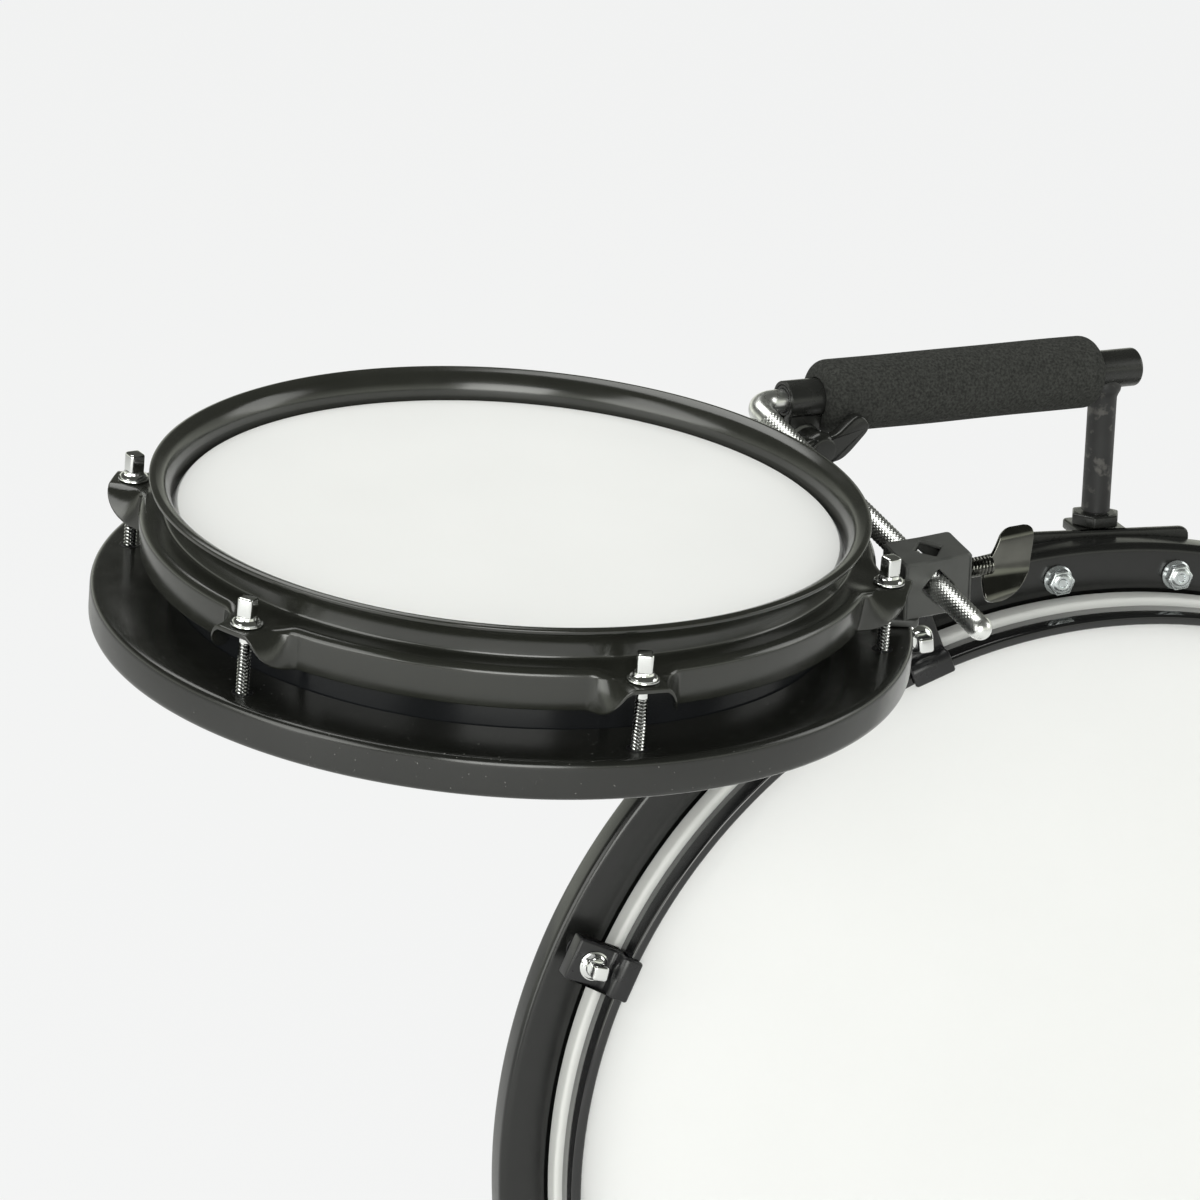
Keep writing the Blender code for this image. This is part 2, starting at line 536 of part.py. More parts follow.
# Tension rods with flanged square heads.
for k in range(SMALL_RODS):
    p = SMALL @ polar(SMALL_ROD_R, SMALL_PHASE + 60 * k)
    at = axes(p, _n, _u)
    bm = bmesh.new()
    revolve(bm, [(0, B + 4), (2.4, B + 4), (2.4, -16.0), (6.0, -16.0), (6.0, -14.6), (3.4, -13.0), (0, -13.0)], 10)
    shank = finish(f"small_rod_{k + 1}", bm, at, CHROME, 0.12, 1.0)
    bm = bmesh.new()
    prism(bm, rounded(6.3, 6.3, 1.0, 1), -13.6, -5.4, Matrix.Rotation(math.radians(15 + 31 * k), 4, 'Z'))
    boolean(shank, cutter(f"add_small_rod_{k + 1}", bm, at), 'UNION')

# Rod block: a folded steel box standing on the ring. x is level across the box, y runs
# along the L-rod towards its tip, z is up through the box; the wing bolt points along -x.
bc = BLOCK_AT
bx = LEG_DIR.cross(_n).normalized()
bz = bx.cross(LEG_DIR)
roll = math.radians(BLOCK_ROLL)
bx, bz = bx * math.cos(roll) - bz * math.sin(roll), bz * math.cos(roll) + bx * math.sin(roll)
BLOCK = frame(bc, bx, LEG_DIR, bz)
yz = frame((0, 0, 0), Vector((0, 1, 0)), Vector((0, 0, 1)), Vector((1, 0, 0)))
bm = bmesh.new()
h, d = BLOCK_H / 2, BLOCK_D / 2
prism(bm, [(d - LEAN * h - 1.2, h), (d - LEAN * h, h - 1.2), (d + LEAN * h, -h + 0.6), (d + LEAN * h - 0.6, -h),
           (-d + LEAN * h, -h), (-d - LEAN * h, h - 1.2), (-d - LEAN * h + 1.2, h)], -BLOCK_W / 2, BLOCK_W / 2, yz)
rod_block = finish("rod_block", bm, BLOCK, BLACK, 0.45, 0.3)
# foot flange lying on the ring, under and behind the box
FOOT = SMALL @ Matrix.Rotation(math.radians(BLOCK_BEARING), 4, 'Z')
E = SMALL_RING_R
bm = bmesh.new()
prism(bm, [(E - 17, -14), (E - 0.5, -14), (E + 1.5, -12), (E + 1.5, 22), (E - 0.5, 24), (E - 17, 24)], A + FIT, A + 3.3)
boolean(rod_block, cutter("add_block_flange", bm, FOOT), 'UNION')
bm = bmesh.new()
prism(bm, [(E - 6, -8.5), (E - 0.9, -8.5), (E - 0.9, 8.5), (E - 6, 8.5)], A + 2.3, A + 9.3)
boolean(rod_block, cutter("add_block_neck", bm, FOOT), 'UNION')
bm = bmesh.new()
q = BLOCK_HOLE
prism(bm, [(q, 0), (0, q), (-q, 0), (0, -q)], -30, 30,
      frame((0, 0, 0), Vector((1, 0, 0)), Vector((0, 0, 1)), Vector((0, -1, 0))))
boolean(rod_block, cutter("cut_block_rod", bm, BLOCK), 'DIFFERENCE')
bm = bmesh.new()
prism(bm, [(5.2, 0), (0, 5.2), (-5.2, 0), (0, -5.2)], 0, 30)
boolean(rod_block, cutter("cut_block_top", bm, BLOCK), 'DIFFERENCE')
BOLT = axes(bc, -bx, bz)
bm = bmesh.new()
rod(bm, 4.3, 0, 30, 16)
boolean(rod_block, cutter("cut_block_bolt", bm, BOLT), 'DIFFERENCE')

# Its wing bolt: a threaded shank with an S-bent sheet wing. Each station gives x and y of
# the sheet's middle and how far it reaches along the bolt.
bm = bmesh.new()
rod(bm, 4.0, ROD_R + 0.5, 31.0, 16)
block_bolt = finish("block_bolt", bm, BOLT, (0.1, 0.1, 0.1), 0.25, 1.0)
WING = np.array([(-14.0, 8.5, 5.4, 17.0), (-9.5, 6.5, 5.2, 25.0), (-5.5, 2.0, 7.2, 31.2), (0.0, 0.0, 10.6, 32.0),
                 (7.0, -0.6, 15.0, 32.6), (12.6, -1.8, 18.4, 33.2), (14.4, -4.2, 20.4, 32.4)])
along = np.gradient(WING[:, :2], axis=0)
along /= np.linalg.norm(along, axis=1)[:, None]
bm = bmesh.new()
rows = []
for (x, y, z0, z1), (dx, dy) in zip(WING, along):
    rows.append([bm.verts.new((x - dy * t, y + dx * t, BLOCK_W / 2 + z)) for t, z in ((-1, z0), (1, z0), (1, z1), (-1, z1))])
for a, b in zip(rows, rows[1:]):
    for k in range(4):
        j = (k + 1) % 4
        bm.faces.new((a[k], a[j], b[j], b[k]))
bm.faces.new(rows[0])
bm.faces.new(rows[-1])
boolean(block_bolt, cutter("add_block_wing", bm, BOLT), 'UNION')

# Snare wires stretched under the head between two end plates. x runs along the wires,
# to the adjuster at the rear of the drum.
SNARE = SMALL @ Matrix.Rotation(math.radians(90), 4, 'Z')
SHELL_IN = SMALL_SHELL_R - SMALL_SHELL_T
W = SHELL_IN - 24.6           # outer ends of the wires' plates
WZ = SMALL_HEAD_H - 1.1
bm = bmesh.new()
box(bm, -W, 9 - W, -17, 17, WZ - 1.2, WZ)
snare = finish("snare_wires", bm, SNARE, (0.65, 0.66, 0.66), 0.3, 1.0)
bm = bmesh.new()
box(bm, W - 9, W, -17, 17, WZ - 1.2, WZ)
boolean(snare, cutter("add_snare_end", bm, SNARE), 'UNION')
for k in range(SNARE_WIRES):
    y = (k - (SNARE_WIRES - 1) / 2) * 3.2
    bm = bmesh.new()
    box(bm, 8 - W, W - 8, y - 0.5, y + 0.5, WZ - 1.0, WZ - 0.2)
    boolean(snare, cutter(f"add_snare_wire_{k + 1}", bm, SNARE), 'UNION')

# Fixed bar: an angle screwed to the inside of the shell at the player's side.
END = math.sqrt((SHELL_IN - 0.5) ** 2 - 81) - FIT
bm = bmesh.new()
prism(bm, [(8 - W, WZ - 1.5), (-W - 2.5, WZ - 1.5), (-W - 2.5, -36.5), (-END, -36.5), (-END, -52.0),
           (-END + 2.5, -52.0), (-END + 2.5, -39.0), (-W, -39.0), (-W, WZ - 4.0), (8 - W, WZ - 4.0)], -9, 9,
      frame((0, 0, 0), Vector((1, 0, 0)), Vector((0, 0, 1)), Vector((0, -1, 0))))
finish("snare_bar_fixed", bm, SNARE, (0.5, 0.5, 0.51), 0.35, 1.0)

# Sliding bar: the same clip and arm, ending in a lug that the adjuster's screw pulls.
bm = bmesh.new()
prism(bm, [(W - 8, WZ - 1.5), (W + 2.5, WZ - 1.5), (W + 2.5, -44.0), (W + 7, -45.0), (W + 7, -56.0), (W, -56.0),
           (W, WZ - 4.0), (W - 8, WZ - 4.0)], -9, 9,
      frame((0, 0, 0), Vector((1, 0, 0)), Vector((0, 0, 1)), Vector((0, -1, 0))))
slide_bar = finish("snare_bar_sliding", bm, SNARE, (0.5, 0.5, 0.51), 0.35, 1.0)

# Guide on the inside of the shell, and the knob whose screw runs through ring, shell and guide.
bm = bmesh.new()
box(bm, END - 9.0, END, -9, 9, -57.0, -40.0)
guide = finish("snare_guide", bm, SNARE, (0.5, 0.5, 0.51), 0.35, 1.0)
KNOB = axes(SNARE @ Vector((0, 0, SNARE_SCREW_H)), SNARE.to_3x3().col[0], SNARE.to_3x3().col[1])
bm = bmesh.new()
K = SMALL_RING_R + FIT
revolve(bm, [(0, W - 3), (2.0, W - 3), (2.0, K), (6.0, K), (6.0, K + 3), (9.0, K + 4), (9.0, K + 13), (7.6, K + 14.4),
             (0, K + 14.4)], 20)
finish("snare_knob", bm, KNOB, BLACK, 0.4)
for target, z0, z1 in ((slide_bar, W - 7, W + 13), (guide, END - 14, END + 4),
                       (small_shell, SHELL_IN - 3, SMALL_SHELL_R + 3), (small_ring, SMALL_SHELL_R - 3, K + 6)):
    bm = bmesh.new()
    rod(bm, 2.4, z0, z1, 12)
    boolean(target, cutter("cut_screw_" + target.name, bm, KNOB), 'DIFFERENCE')


# ---- legs ---------------------------------------------------------------------------
# Each leg rod slides in a socket on the shell, is held by a wing bolt from behind and
# stands on a rubber foot.
for tag, sx in (("left", -1), ("right", 1)):
    ang = LEG_ANGLE if sx < 0 else 180 - LEG_ANGLE
    out = BASS.to_3x3() @ polar(1, ang)
    seat = BASS @ polar(LEG_SOCKET_R, ang)
    seat.y = LEG_SOCKET_Y
    foot = Vector((sx * FOOT_X, FOOT_Y, FOOT_LIFT))
    down = (foot - seat).normalized()
    reach = (foot - seat).length
    back = Vector((0, 1, 0))
    SOCKET = frame(seat, out, back, out.cross(back))
    bm = bmesh.new()
    near = BASS_SHELL_R + 0.5 - LEG_SOCKET_R
    prism(bm, [(near, -13.5), (near + 5, -13.5), (near + 9, -10.5), (10.5, -10.5), (13.5, -7.5), (13.5, 8), (10.5, 11),
               (near + 9, 11), (near + 5, 16), (near, 16)], -11.5, 11.5)
    socket = finish(f"leg_socket_{tag}", bm, SOCKET, BLACK, 0.4, 0.3)
    LEG = axes(seat, down, back)
    bm = bmesh.new()
    rod(bm, LEG_R + FIT, -27, 60, 20)
    boolean(socket, cutter(f"cut_socket_{tag}", bm, LEG), 'DIFFERENCE')
    SCREW = axes(seat, back, out)
    bm = bmesh.new()
    rod(bm, 3.3, 0, 30, 12)
    boolean(socket, cutter(f"cut_socket_screw_{tag}", bm, SCREW), 'DIFFERENCE')
    bm = bmesh.new()
    rod(bm, LEG_R, -22, reach, 20)
    finish(f"leg_{tag}", bm, LEG, CHROME, 0.2, 1.0)
    bm = bmesh.new()
    revolve(bm, [(0, 0), (12.0, 0), (13.5, 1.5), (14.0, 8.0), (12.5, 15.0), (9.0, 20.0), (0, 21.5)], 24)
    pad = finish(f"leg_foot_{tag}", bm, frame((foot.x, foot.y, 0), Vector((1, 0, 0)), back, UP), (0.02, 0.02, 0.02), 0.8)
    bm = bmesh.new()
    rod(bm, LEG_R + 0.25, reach - 40, reach + 0.3, 20)
    boolean(pad, cutter(f"cut_foot_{tag}", bm, LEG), 'DIFFERENCE')
    bm = bmesh.new()
    revolve(bm, [(0, LEG_R + 1.5), (3.0, LEG_R + 1.5), (3.0, 13.0), (6.0, 13.0), (6.0, 19.0), (4.5, 21.0), (0, 21.0)], 16)
    wing = finish(f"leg_wing_{tag}", bm, SCREW, BLACK, 0.35)
    bm = bmesh.new()
    prism(bm, [(-17, 24), (-19, 21), (-12, 15), (12, 15), (19, 21), (17, 24), (8, 19.5), (-8, 19.5)], -1.8, 1.8,
          Matrix.Rotation(math.radians(35 * sx), 4, 'Z')
          @ frame((0, 0, 0), Vector((1, 0, 0)), Vector((0, 0, 1)), Vector((0, -1, 0))))
    boolean(wing, cutter(f"add_leg_wing_{tag}", bm, SCREW), 'UNION')


# ---- floor plate for the pedal --------------------------------------------------------
T = BASS_RING_T + FIT
bm = bmesh.new()
prism(bm, [(PLATE_FRONT, 0), (T + PLATE_T, 0), (T + PLATE_T, 42), (T, 42), (T, PLATE_T), (PLATE_FRONT, PLATE_T)],
      -PLATE_W / 2, PLATE_W / 2, frame((0, 0, 0), Vector((0, 1, 0)), Vector((0, 0, 1)), Vector((1, 0, 0))))
plate = finish("floor_plate", bm, Matrix.Identity(4), BLACK, 0.4, 0.3)
bm = bmesh.new()
for sx in (-1, 1):
    rod(bm, 3.3, -T - 10, -T + 5, 12, at=(sx * BRACKET_BOLT_X, -BRACKET_BOLT_Z))
boolean(plate, cutter("cut_plate", bm, BASS), 'DIFFERENCE')
for i, sx in enumerate((-1, 1)):
    hex_bolt(f"plate_bolt_{i + 1}", sx * BRACKET_BOLT_X, -BRACKET_BOLT_Z, 0, 21.0)
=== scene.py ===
"""A travel drum kit: a small snare drum on a wide base ring, carried on a bent rod from
the padded handle of a standing shallow bass drum.

Lengths are millimetres until a piece is made. +Z is up, the player sits on the -Y side.
"""
import math

import bmesh
import bpy
import numpy as np
from mathutils import Matrix


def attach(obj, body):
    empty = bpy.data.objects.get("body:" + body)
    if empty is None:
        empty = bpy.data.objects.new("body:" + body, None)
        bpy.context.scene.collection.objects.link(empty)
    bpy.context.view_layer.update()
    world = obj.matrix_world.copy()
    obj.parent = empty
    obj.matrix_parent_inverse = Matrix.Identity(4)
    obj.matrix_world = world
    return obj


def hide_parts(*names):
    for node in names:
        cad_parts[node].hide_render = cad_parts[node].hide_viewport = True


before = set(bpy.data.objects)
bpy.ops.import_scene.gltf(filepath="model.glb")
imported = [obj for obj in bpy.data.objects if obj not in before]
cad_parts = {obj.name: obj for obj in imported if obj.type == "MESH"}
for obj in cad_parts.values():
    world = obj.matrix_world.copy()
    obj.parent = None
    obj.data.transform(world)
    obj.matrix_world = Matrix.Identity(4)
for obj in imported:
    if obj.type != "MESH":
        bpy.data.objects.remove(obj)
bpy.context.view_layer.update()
scene = bpy.context.scene

# ---- the view ------------------------------------------------------------------------
# A long lens looks down on the small drum from its front left, so that drum fills the
# middle of the picture and the bass drum runs out of it at the lower right.
view = bpy.data.objects.new("view", bpy.data.cameras.new("view"))
scene.collection.objects.link(view)
scene.camera = view
view.data.lens = 186.0
view.data.sensor_width = 36.0
view.data.clip_end = 100.0
turn, tip, roll = np.radians([-17.51, 15.92, 2.38])
ahead = np.array([-np.sin(turn) * np.cos(tip), np.cos(turn) * np.cos(tip), -np.sin(tip)])
level = np.array([np.cos(turn), np.sin(turn), 0.0])
above = np.cross(level, ahead)
camera_axes = np.column_stack([level * np.cos(roll) + above * np.sin(roll),
                               above * np.cos(roll) - level * np.sin(roll), -ahead])
stand = Matrix.Translation((-0.95105, -2.30280, 1.20730))
view.matrix_world = stand @ Matrix(camera_axes.tolist()).to_4x4()

# ---- bass drum: mounting ring --------------------------------------------------------
# A flat wooden annulus, its edges rounded over with a router and sprayed satin black.
# It carries the shell, the claws' rods, the handle bracket and the legs.


def unit(vector):
    """The vector divided by its length."""
    vector = np.asarray(vector, float)
    return vector / np.linalg.norm(vector)


def axes(origin, out, along):
    """A place and a 3x3 turn: z runs along out, x as near to along as it can be."""
    z = unit(out)
    x = unit(np.asarray(along, float) - z * (np.asarray(along, float) @ z))
    return np.asarray(origin, float), np.column_stack([x, np.cross(z, x), z])


def put(points, place):
    """Points of a piece's own axes carried to the drum kit: turn times point plus origin."""
    origin, turned = place
    return np.asarray(points, float) @ turned.T + origin


def polar(r, a, z):
    """The points (r cos a, r sin a, z) for every radius, angle and height."""
    x, y = r * np.cos(a), r * np.sin(a)
    return np.stack([x, y, z + 0 * x], -1)


def moved(place, point):
    """The same turn, with its origin at a point given in the place's own axes."""
    return put([point], place)[0], place[1]


def shell_of(points, caps=False):
    """A grid of points (rows, columns, 3) as quads, with its flat ends closed if caps is set.
    The pattern map runs 0 to 1 across the columns and 0 to 1 down the rows."""
    points = np.asarray(points, float)
    rows, columns = points.shape[:2]
    i, j = np.meshgrid(np.arange(rows - 1), np.arange(columns - 1), indexing="ij")
    first = i * columns + j
    faces = np.stack([first, first + columns, first + columns + 1, first + 1], -1).reshape(-1, 4).tolist()
    if caps:
        faces.append(list(range(columns - 1)))
        faces.append(list(range((rows - 1) * columns, rows * columns - 1))[::-1])
    across, down = np.meshgrid(np.linspace(0, 1, columns), np.linspace(0, 1, rows))
    return points.reshape(-1, 3), faces, np.stack([across, down], -1).reshape(-1, 2)


def softened(corners, radii, steps=5, share=0.49):
    """Closed outlines (.., corners, 2) with each corner cut back by its radius, but at most by
    a share of its shorter side, and bridged by a parabola from one side to the next:
    (1-s)^2 start + 2s(1-s) corner + s^2 end."""
    corners = np.asarray(corners, float)
    back, on = np.roll(corners, 1, -2) - corners, np.roll(corners, -1, -2) - corners
    back_length = np.linalg.norm(back, axis=-1, keepdims=True)
    on_length = np.linalg.norm(on, axis=-1, keepdims=True)
    cut = np.minimum(np.reshape(radii, (-1, 1)), np.minimum(back_length, on_length) * share)
    start = (corners + back / back_length * cut)[..., None, :]
    end = (corners + on / on_length * cut)[..., None, :]
    s = np.linspace(0, 1, steps + 1)[:, None]
    curve = (1 - s) ** 2 * start + 2 * s * (1 - s) * corners[..., None, :] + s ** 2 * end
    return curve.reshape(*corners.shape[:-2], -1, 2)


def turned(profile, place, sides=256):
    """A profile of (radius, height) turned about z: (r cos a, r sin a, h) for every angle a.
    A profile that starts on the axis ends there too, and any other one is a closed ring."""
    profile = np.asarray(profile, float)
    if profile[0, 0] > 0:
        profile = np.vstack([profile, profile[:1]])
    a = np.linspace(0, 2 * np.pi, sides + 1)[:, None]
    return shell_of(put(polar(profile[:, 0], a, profile[:, 1]).transpose(1, 0, 2), place))


def piece(name, shells, material, body, nodes=(), crease=38.0):
    """Joins shells into one object in metres, welds its seams, turns its faces outwards and
    makes it ride on a body in place of the plain nodes."""
    points, faces, maps, start = [], [], [], 0
    for vertices, quads, pattern in shells:
        points.append(vertices)
        maps.append(pattern)
        faces.extend([[v + start for v in quad] for quad in quads])
        start += len(vertices)
    mesh = bpy.data.meshes.new(name)
    mesh.from_pydata((np.vstack(points) * 0.001).tolist(), [], faces)
    corner = np.empty(len(mesh.loops), np.int32)
    mesh.loops.foreach_get("vertex_index", corner)
    spots = np.vstack(maps)[corner].astype(np.float32).ravel()
    mesh.uv_layers.new(name="pattern").data.foreach_set("uv", spots)
    bm = bmesh.new()
    bm.from_mesh(mesh)
    bmesh.ops.remove_doubles(bm, verts=bm.verts, dist=1e-6)
    bmesh.ops.dissolve_degenerate(bm, dist=1e-7, edges=bm.edges)
    bmesh.ops.recalc_face_normals(bm, faces=bm.faces)
    bm.to_mesh(mesh)
    bm.free()
    mesh.shade_smooth()
    mesh.set_sharp_from_angle(angle=math.radians(crease))
    made = bpy.data.objects.new(name, mesh)
    scene.collection.objects.link(made)
    mesh.materials.append(material)
    if nodes:
        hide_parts(*([nodes] if isinstance(nodes, str) else nodes))
    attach(made, body)
    return made


def finish(name, colour, rough, metal=0.0, spec=0.5, coat=0.0, mottle=0.12, patches=60.0, grain=1400.0,
           relief=0.0, depth=0.03, uneven=0.06, specks=0.0, groove_shade=0.0, worn=0.0):
    """A sprayed, plated or moulded surface. Cloudy noise shifts the colour and the roughness
    a little, fine noise raises a faint relief (depth in mm) and specks adds sparse pale dust.
    The groove setting paints shade: it darkens the colour towards near black at the bottoms of
    grooves, where the pattern map runs from 0 down to -1, and worn is how far patches of the paint are rubbed
    through."""
    material = bpy.data.materials.new(name)
    material.use_nodes = True
    nodes, links = material.node_tree.nodes, material.node_tree.links
    shader = nodes["Principled BSDF"]
    shader.inputs["Metallic"].default_value = metal
    shader.inputs["Specular IOR Level"].default_value = spec
    shader.inputs["Coat Weight"].default_value = coat
    shader.inputs["Coat Roughness"].default_value = 0.06
    where = nodes.new("ShaderNodeTexCoord")

    def noise(scale, detail):
        made = nodes.new("ShaderNodeTexNoise")
        made.inputs["Scale"].default_value = scale
        made.inputs["Detail"].default_value = detail
        links.new(where.outputs["Object"], made.inputs["Vector"])
        return made.outputs["Fac"]

    def spread(source, low, high, start=0.3, stop=0.7):
        made = nodes.new("ShaderNodeMapRange")
        for socket, value in zip(("From Min", "From Max", "To Min", "To Max"), (start, stop, low, high)):
            made.inputs[socket].default_value = value
        links.new(source, made.inputs["Value"])
        return made.outputs["Result"]

    def blend(amount, first, second):
        made = nodes.new("ShaderNodeMix")
        made.data_type = 'RGBA'
        links.new(amount, made.inputs["Factor"])
        for socket, value in ((made.inputs[6], first), (made.inputs[7], second)):
            if isinstance(value, tuple):
                socket.default_value = (*value, 1)
            else:
                links.new(value, socket)
        return made.outputs[2]

    darker, lighter = (tuple(c * (1 + shift) for c in colour) for shift in (-mottle, mottle))
    tint = blend(spread(noise(patches, 4.0), 0, 1), darker, lighter)
    if specks:
        dust = spread(noise(1100.0, 0.0), 0, 1, 1 - specks, 1 - specks + 0.03)
        tint = blend(dust, tint, (0.16, 0.16, 0.15))
    # Painted shade: towards the bottoms of grooves the colour falls to 6% of itself.
    if groove_shade:
        pattern, split = nodes.new("ShaderNodeUVMap"), nodes.new("ShaderNodeSeparateXYZ")
        pattern.uv_map = "pattern"
        links.new(pattern.outputs["UV"], split.inputs["Vector"])
        tint = blend(spread(split.outputs["Y"], groove_shade, 0, -1, 0), tint, tuple(c * 0.06 for c in colour))
    if worn:
        tint = blend(spread(noise(210.0, 5.0), 0, worn, 0.56, 0.66), tint, (0.13, 0.125, 0.115))
    links.new(tint, shader.inputs["Base Color"])
    gloss = spread(noise(patches * 2.3, 3.0), max(0.02, rough - uneven), rough + uneven)
    links.new(gloss, shader.inputs["Roughness"])
    if relief:
        bump = nodes.new("ShaderNodeBump")
        bump.inputs["Strength"].default_value = relief
        bump.inputs["Distance"].default_value = depth * 0.001
        links.new(noise(grain, 2.0), bump.inputs["Height"])
        links.new(bump.outputs["Normal"], shader.inputs["Normal"])
    return material


BASS_AXIS = 275.0
BASS = np.array([0, 0, BASS_AXIS]), np.array([[1.0, 0, 0], [0, 0, -1], [0, 1, 0]])
satin_paint = finish("satin_black_paint", (0.0095, 0.0098, 0.0092), 0.22, spec=0.6, uneven=0.03)
piece("bass_mounting_ring",
      [turned(softened([(238.3, 0), (257.4, 0), (257.4, -16), (228.9, -16), (228.9, -5), (238.3, -5)],
                       [0.8, 3.6, 3.6, 0.4, 0.3, 0.3], 7), BASS, 384)],
      satin_paint, "bass_drum", "bass_ring")
socket_dark = finish("drilled_socket", (0.03, 0.03, 0.032), 0.3, metal=0.7, relief=0.12)
ROD_CIRCLE = 245.9
claw_angles = np.radians(22.5 + 45.0 * np.arange(8))
piece("bass_ring_sockets",
      [turned(softened([(3.0, -2.0), (3.0, 0.25), (5.4, 0.25), (5.9, -0.2), (5.9, -2.0)], 0.15, 2),
              moved(BASS, polar(ROD_CIRCLE, a, 0)), 32) for a in claw_angles],
      socket_dark, "bass_drum")

# ---- bass drum: shell, head and counterhoop ------------------------------------------
# The shell is a thin bent-wood cylinder with a rounded bearing edge. The coated film is
# stretched over it by a white flesh hoop, which the gloss black counterhoop presses down.


def rectangle(x0, y0, x1, y1, radii, steps=5):
    """A softened rectangle from its corner (x0, y0) to the opposite one."""
    return softened([(x0, y0), (x1, y0), (x1, y1), (x0, y1)], radii, steps)


lacquer = finish("black_lacquer", (0.012, 0.013, 0.0145), 0.16, spec=0.55, patches=25.0, uneven=0.03)
piece("bass_drum_shell",
      [turned(softened([(222.6, -55), (228.6, -55), (228.6, 13.0), (227.0, 15.7), (222.6, 12.4)],
                       [0.8, 0.8, 1.5, 1.2, 0.8], 4), BASS, 320)],
      lacquer, "bass_drum", "bass_shell")
coated_film = finish("coated_film", (0.86, 0.862, 0.86), 0.5, spec=0.35, mottle=0.012, patches=9.0,
                     grain=2600.0, relief=0.1, depth=0.04, uneven=0.05)
hoop_white = finish("flesh_hoop_white", (0.7, 0.705, 0.685), 0.42, mottle=0.03, patches=30.0, relief=0.05)
film = [(0, 16.5), (60, 16.5), (120, 16.5), (180, 16.5), (222, 16.5), (226.2, 16.4), (228.3, 15.6),
        (229.3, 13.6), (229.4, 10.0), (228.9, 10.0), (228.9, 13.3), (227.4, 15.6), (222, 16.0), (120, 16.0),
        (0, 16.0)]
piece("bass_head_film", [turned(film, BASS, 320)], coated_film, "bass_drum", "bass_head")
piece("bass_flesh_hoop",
      [turned(rectangle(228.9, -1.0, 237.0, 10.3, [0.5, 1.8, 2.2, 0.5]), BASS, 320)],
      hoop_white, "bass_drum")
gloss_coat = finish("gloss_black_coat", (0.008, 0.008, 0.0085), 0.1, spec=0.55, coat=0.4, patches=20.0,
                    uneven=0.03)
piece("bass_counterhoop",
      [turned(rectangle(229.6, 10.6, 234.0, 25.2, [0.6, 0.6, 1.5, 1.9], 6), BASS, 384)],
      gloss_coat, "bass_drum", "bass_hoop")

# ---- bass drum: claws and tension rods -----------------------------------------------
# A pressed steel claw hooks over the counterhoop at eight places. A square-headed rod
# with a washer pulls it towards the ring, where its thread ends in a socket.


def slab(outline, low, high, place, edge=0.6, steps=3):
    """A flat outline made thick: rows of it rise from low to high, and near both ends each
    row is drawn in by edge (1 - cos a) while it rises by edge (1 - sin a), a quarter round."""
    outline = np.asarray(outline, float)
    area = np.sum(outline[:, 0] * np.roll(outline[:, 1], -1) - np.roll(outline[:, 0], -1) * outline[:, 1])
    outline = outline if area > 0 else outline[::-1]
    back, on = outline - np.roll(outline, 1, 0), np.roll(outline, -1, 0) - outline
    back /= np.linalg.norm(back, axis=1)[:, None] + 1e-12
    on /= np.linalg.norm(on, axis=1)[:, None] + 1e-12
    inward = np.stack([-(back + on)[:, 1], (back + on)[:, 0]], -1)
    inward /= np.maximum(np.linalg.norm(inward, axis=1)[:, None], 1e-9)
    inward /= np.maximum(np.sum(inward * np.stack([-on[:, 1], on[:, 0]], -1), 1)[:, None], 0.5)
    a = np.linspace(0, np.pi / 2, steps + 1)
    draw = np.concatenate([edge * (1 - np.sin(a)), edge * (1 - np.cos(a))])
    rise = np.concatenate([low + edge * (1 - np.cos(a)), high - edge * (1 - np.sin(a))])
    grid = np.concatenate([outline[None] + inward[None] * draw[:, None, None],
                           np.broadcast_to(rise[:, None, None], (len(rise), len(outline), 1))], -1)
    grid = np.concatenate([grid, grid[:, :1]], 1)
    return shell_of(put(grid, place), caps=True)


def threaded(radius, low, high, place, pitch=0.9, sides=24, cut=0.45):
    """A screw: the radius falls by up to cut with a triangle wave of height / pitch plus
    the turn, so the grooves climb one pitch a turn. They fade over the last 0.8 mm, where the
    ends narrow by 0.25 mm, and both ends are closed by a point of no radius."""
    a = np.linspace(0, 2 * np.pi, sides + 1)[None, :]
    z = np.linspace(low, high, int((high - low) / pitch * 6) + 2)[:, None]
    wave = np.abs(((z / pitch + a / (2 * np.pi)) % 1.0) * 2 - 1)
    fade = np.clip(np.minimum(z - low, high - z) / 0.8, 0, 1)
    r = radius - cut * (1 - wave) * fade - 0.25 * (1 - fade)
    z = np.vstack([z[:1], z, z[-1:]])
    r = np.vstack([r[:1] * 0, r, r[-1:] * 0])
    points, quads, pattern = shell_of(put(polar(r, a, z), place))
    # The map's second column is minus the groove depth, which a finish reads to paint shade into the groove
    # bottoms.
    pattern[:, 1] = -np.vstack([0 * a, (1 - wave) * fade, 0 * a]).ravel()
    return points, quads, pattern


def square_key_head(low, high, place, width=6.3, twist=0.0):
    """A drum key's square: a rounded square outline whose top edge is chamfered."""
    half = width / 2
    flat = rectangle(-half, -half, half, half, 1.5)
    c, s = math.cos(twist), math.sin(twist)
    return slab(flat @ np.array([[c, s], [-s, c]]), low, high, place, edge=0.95, steps=4)
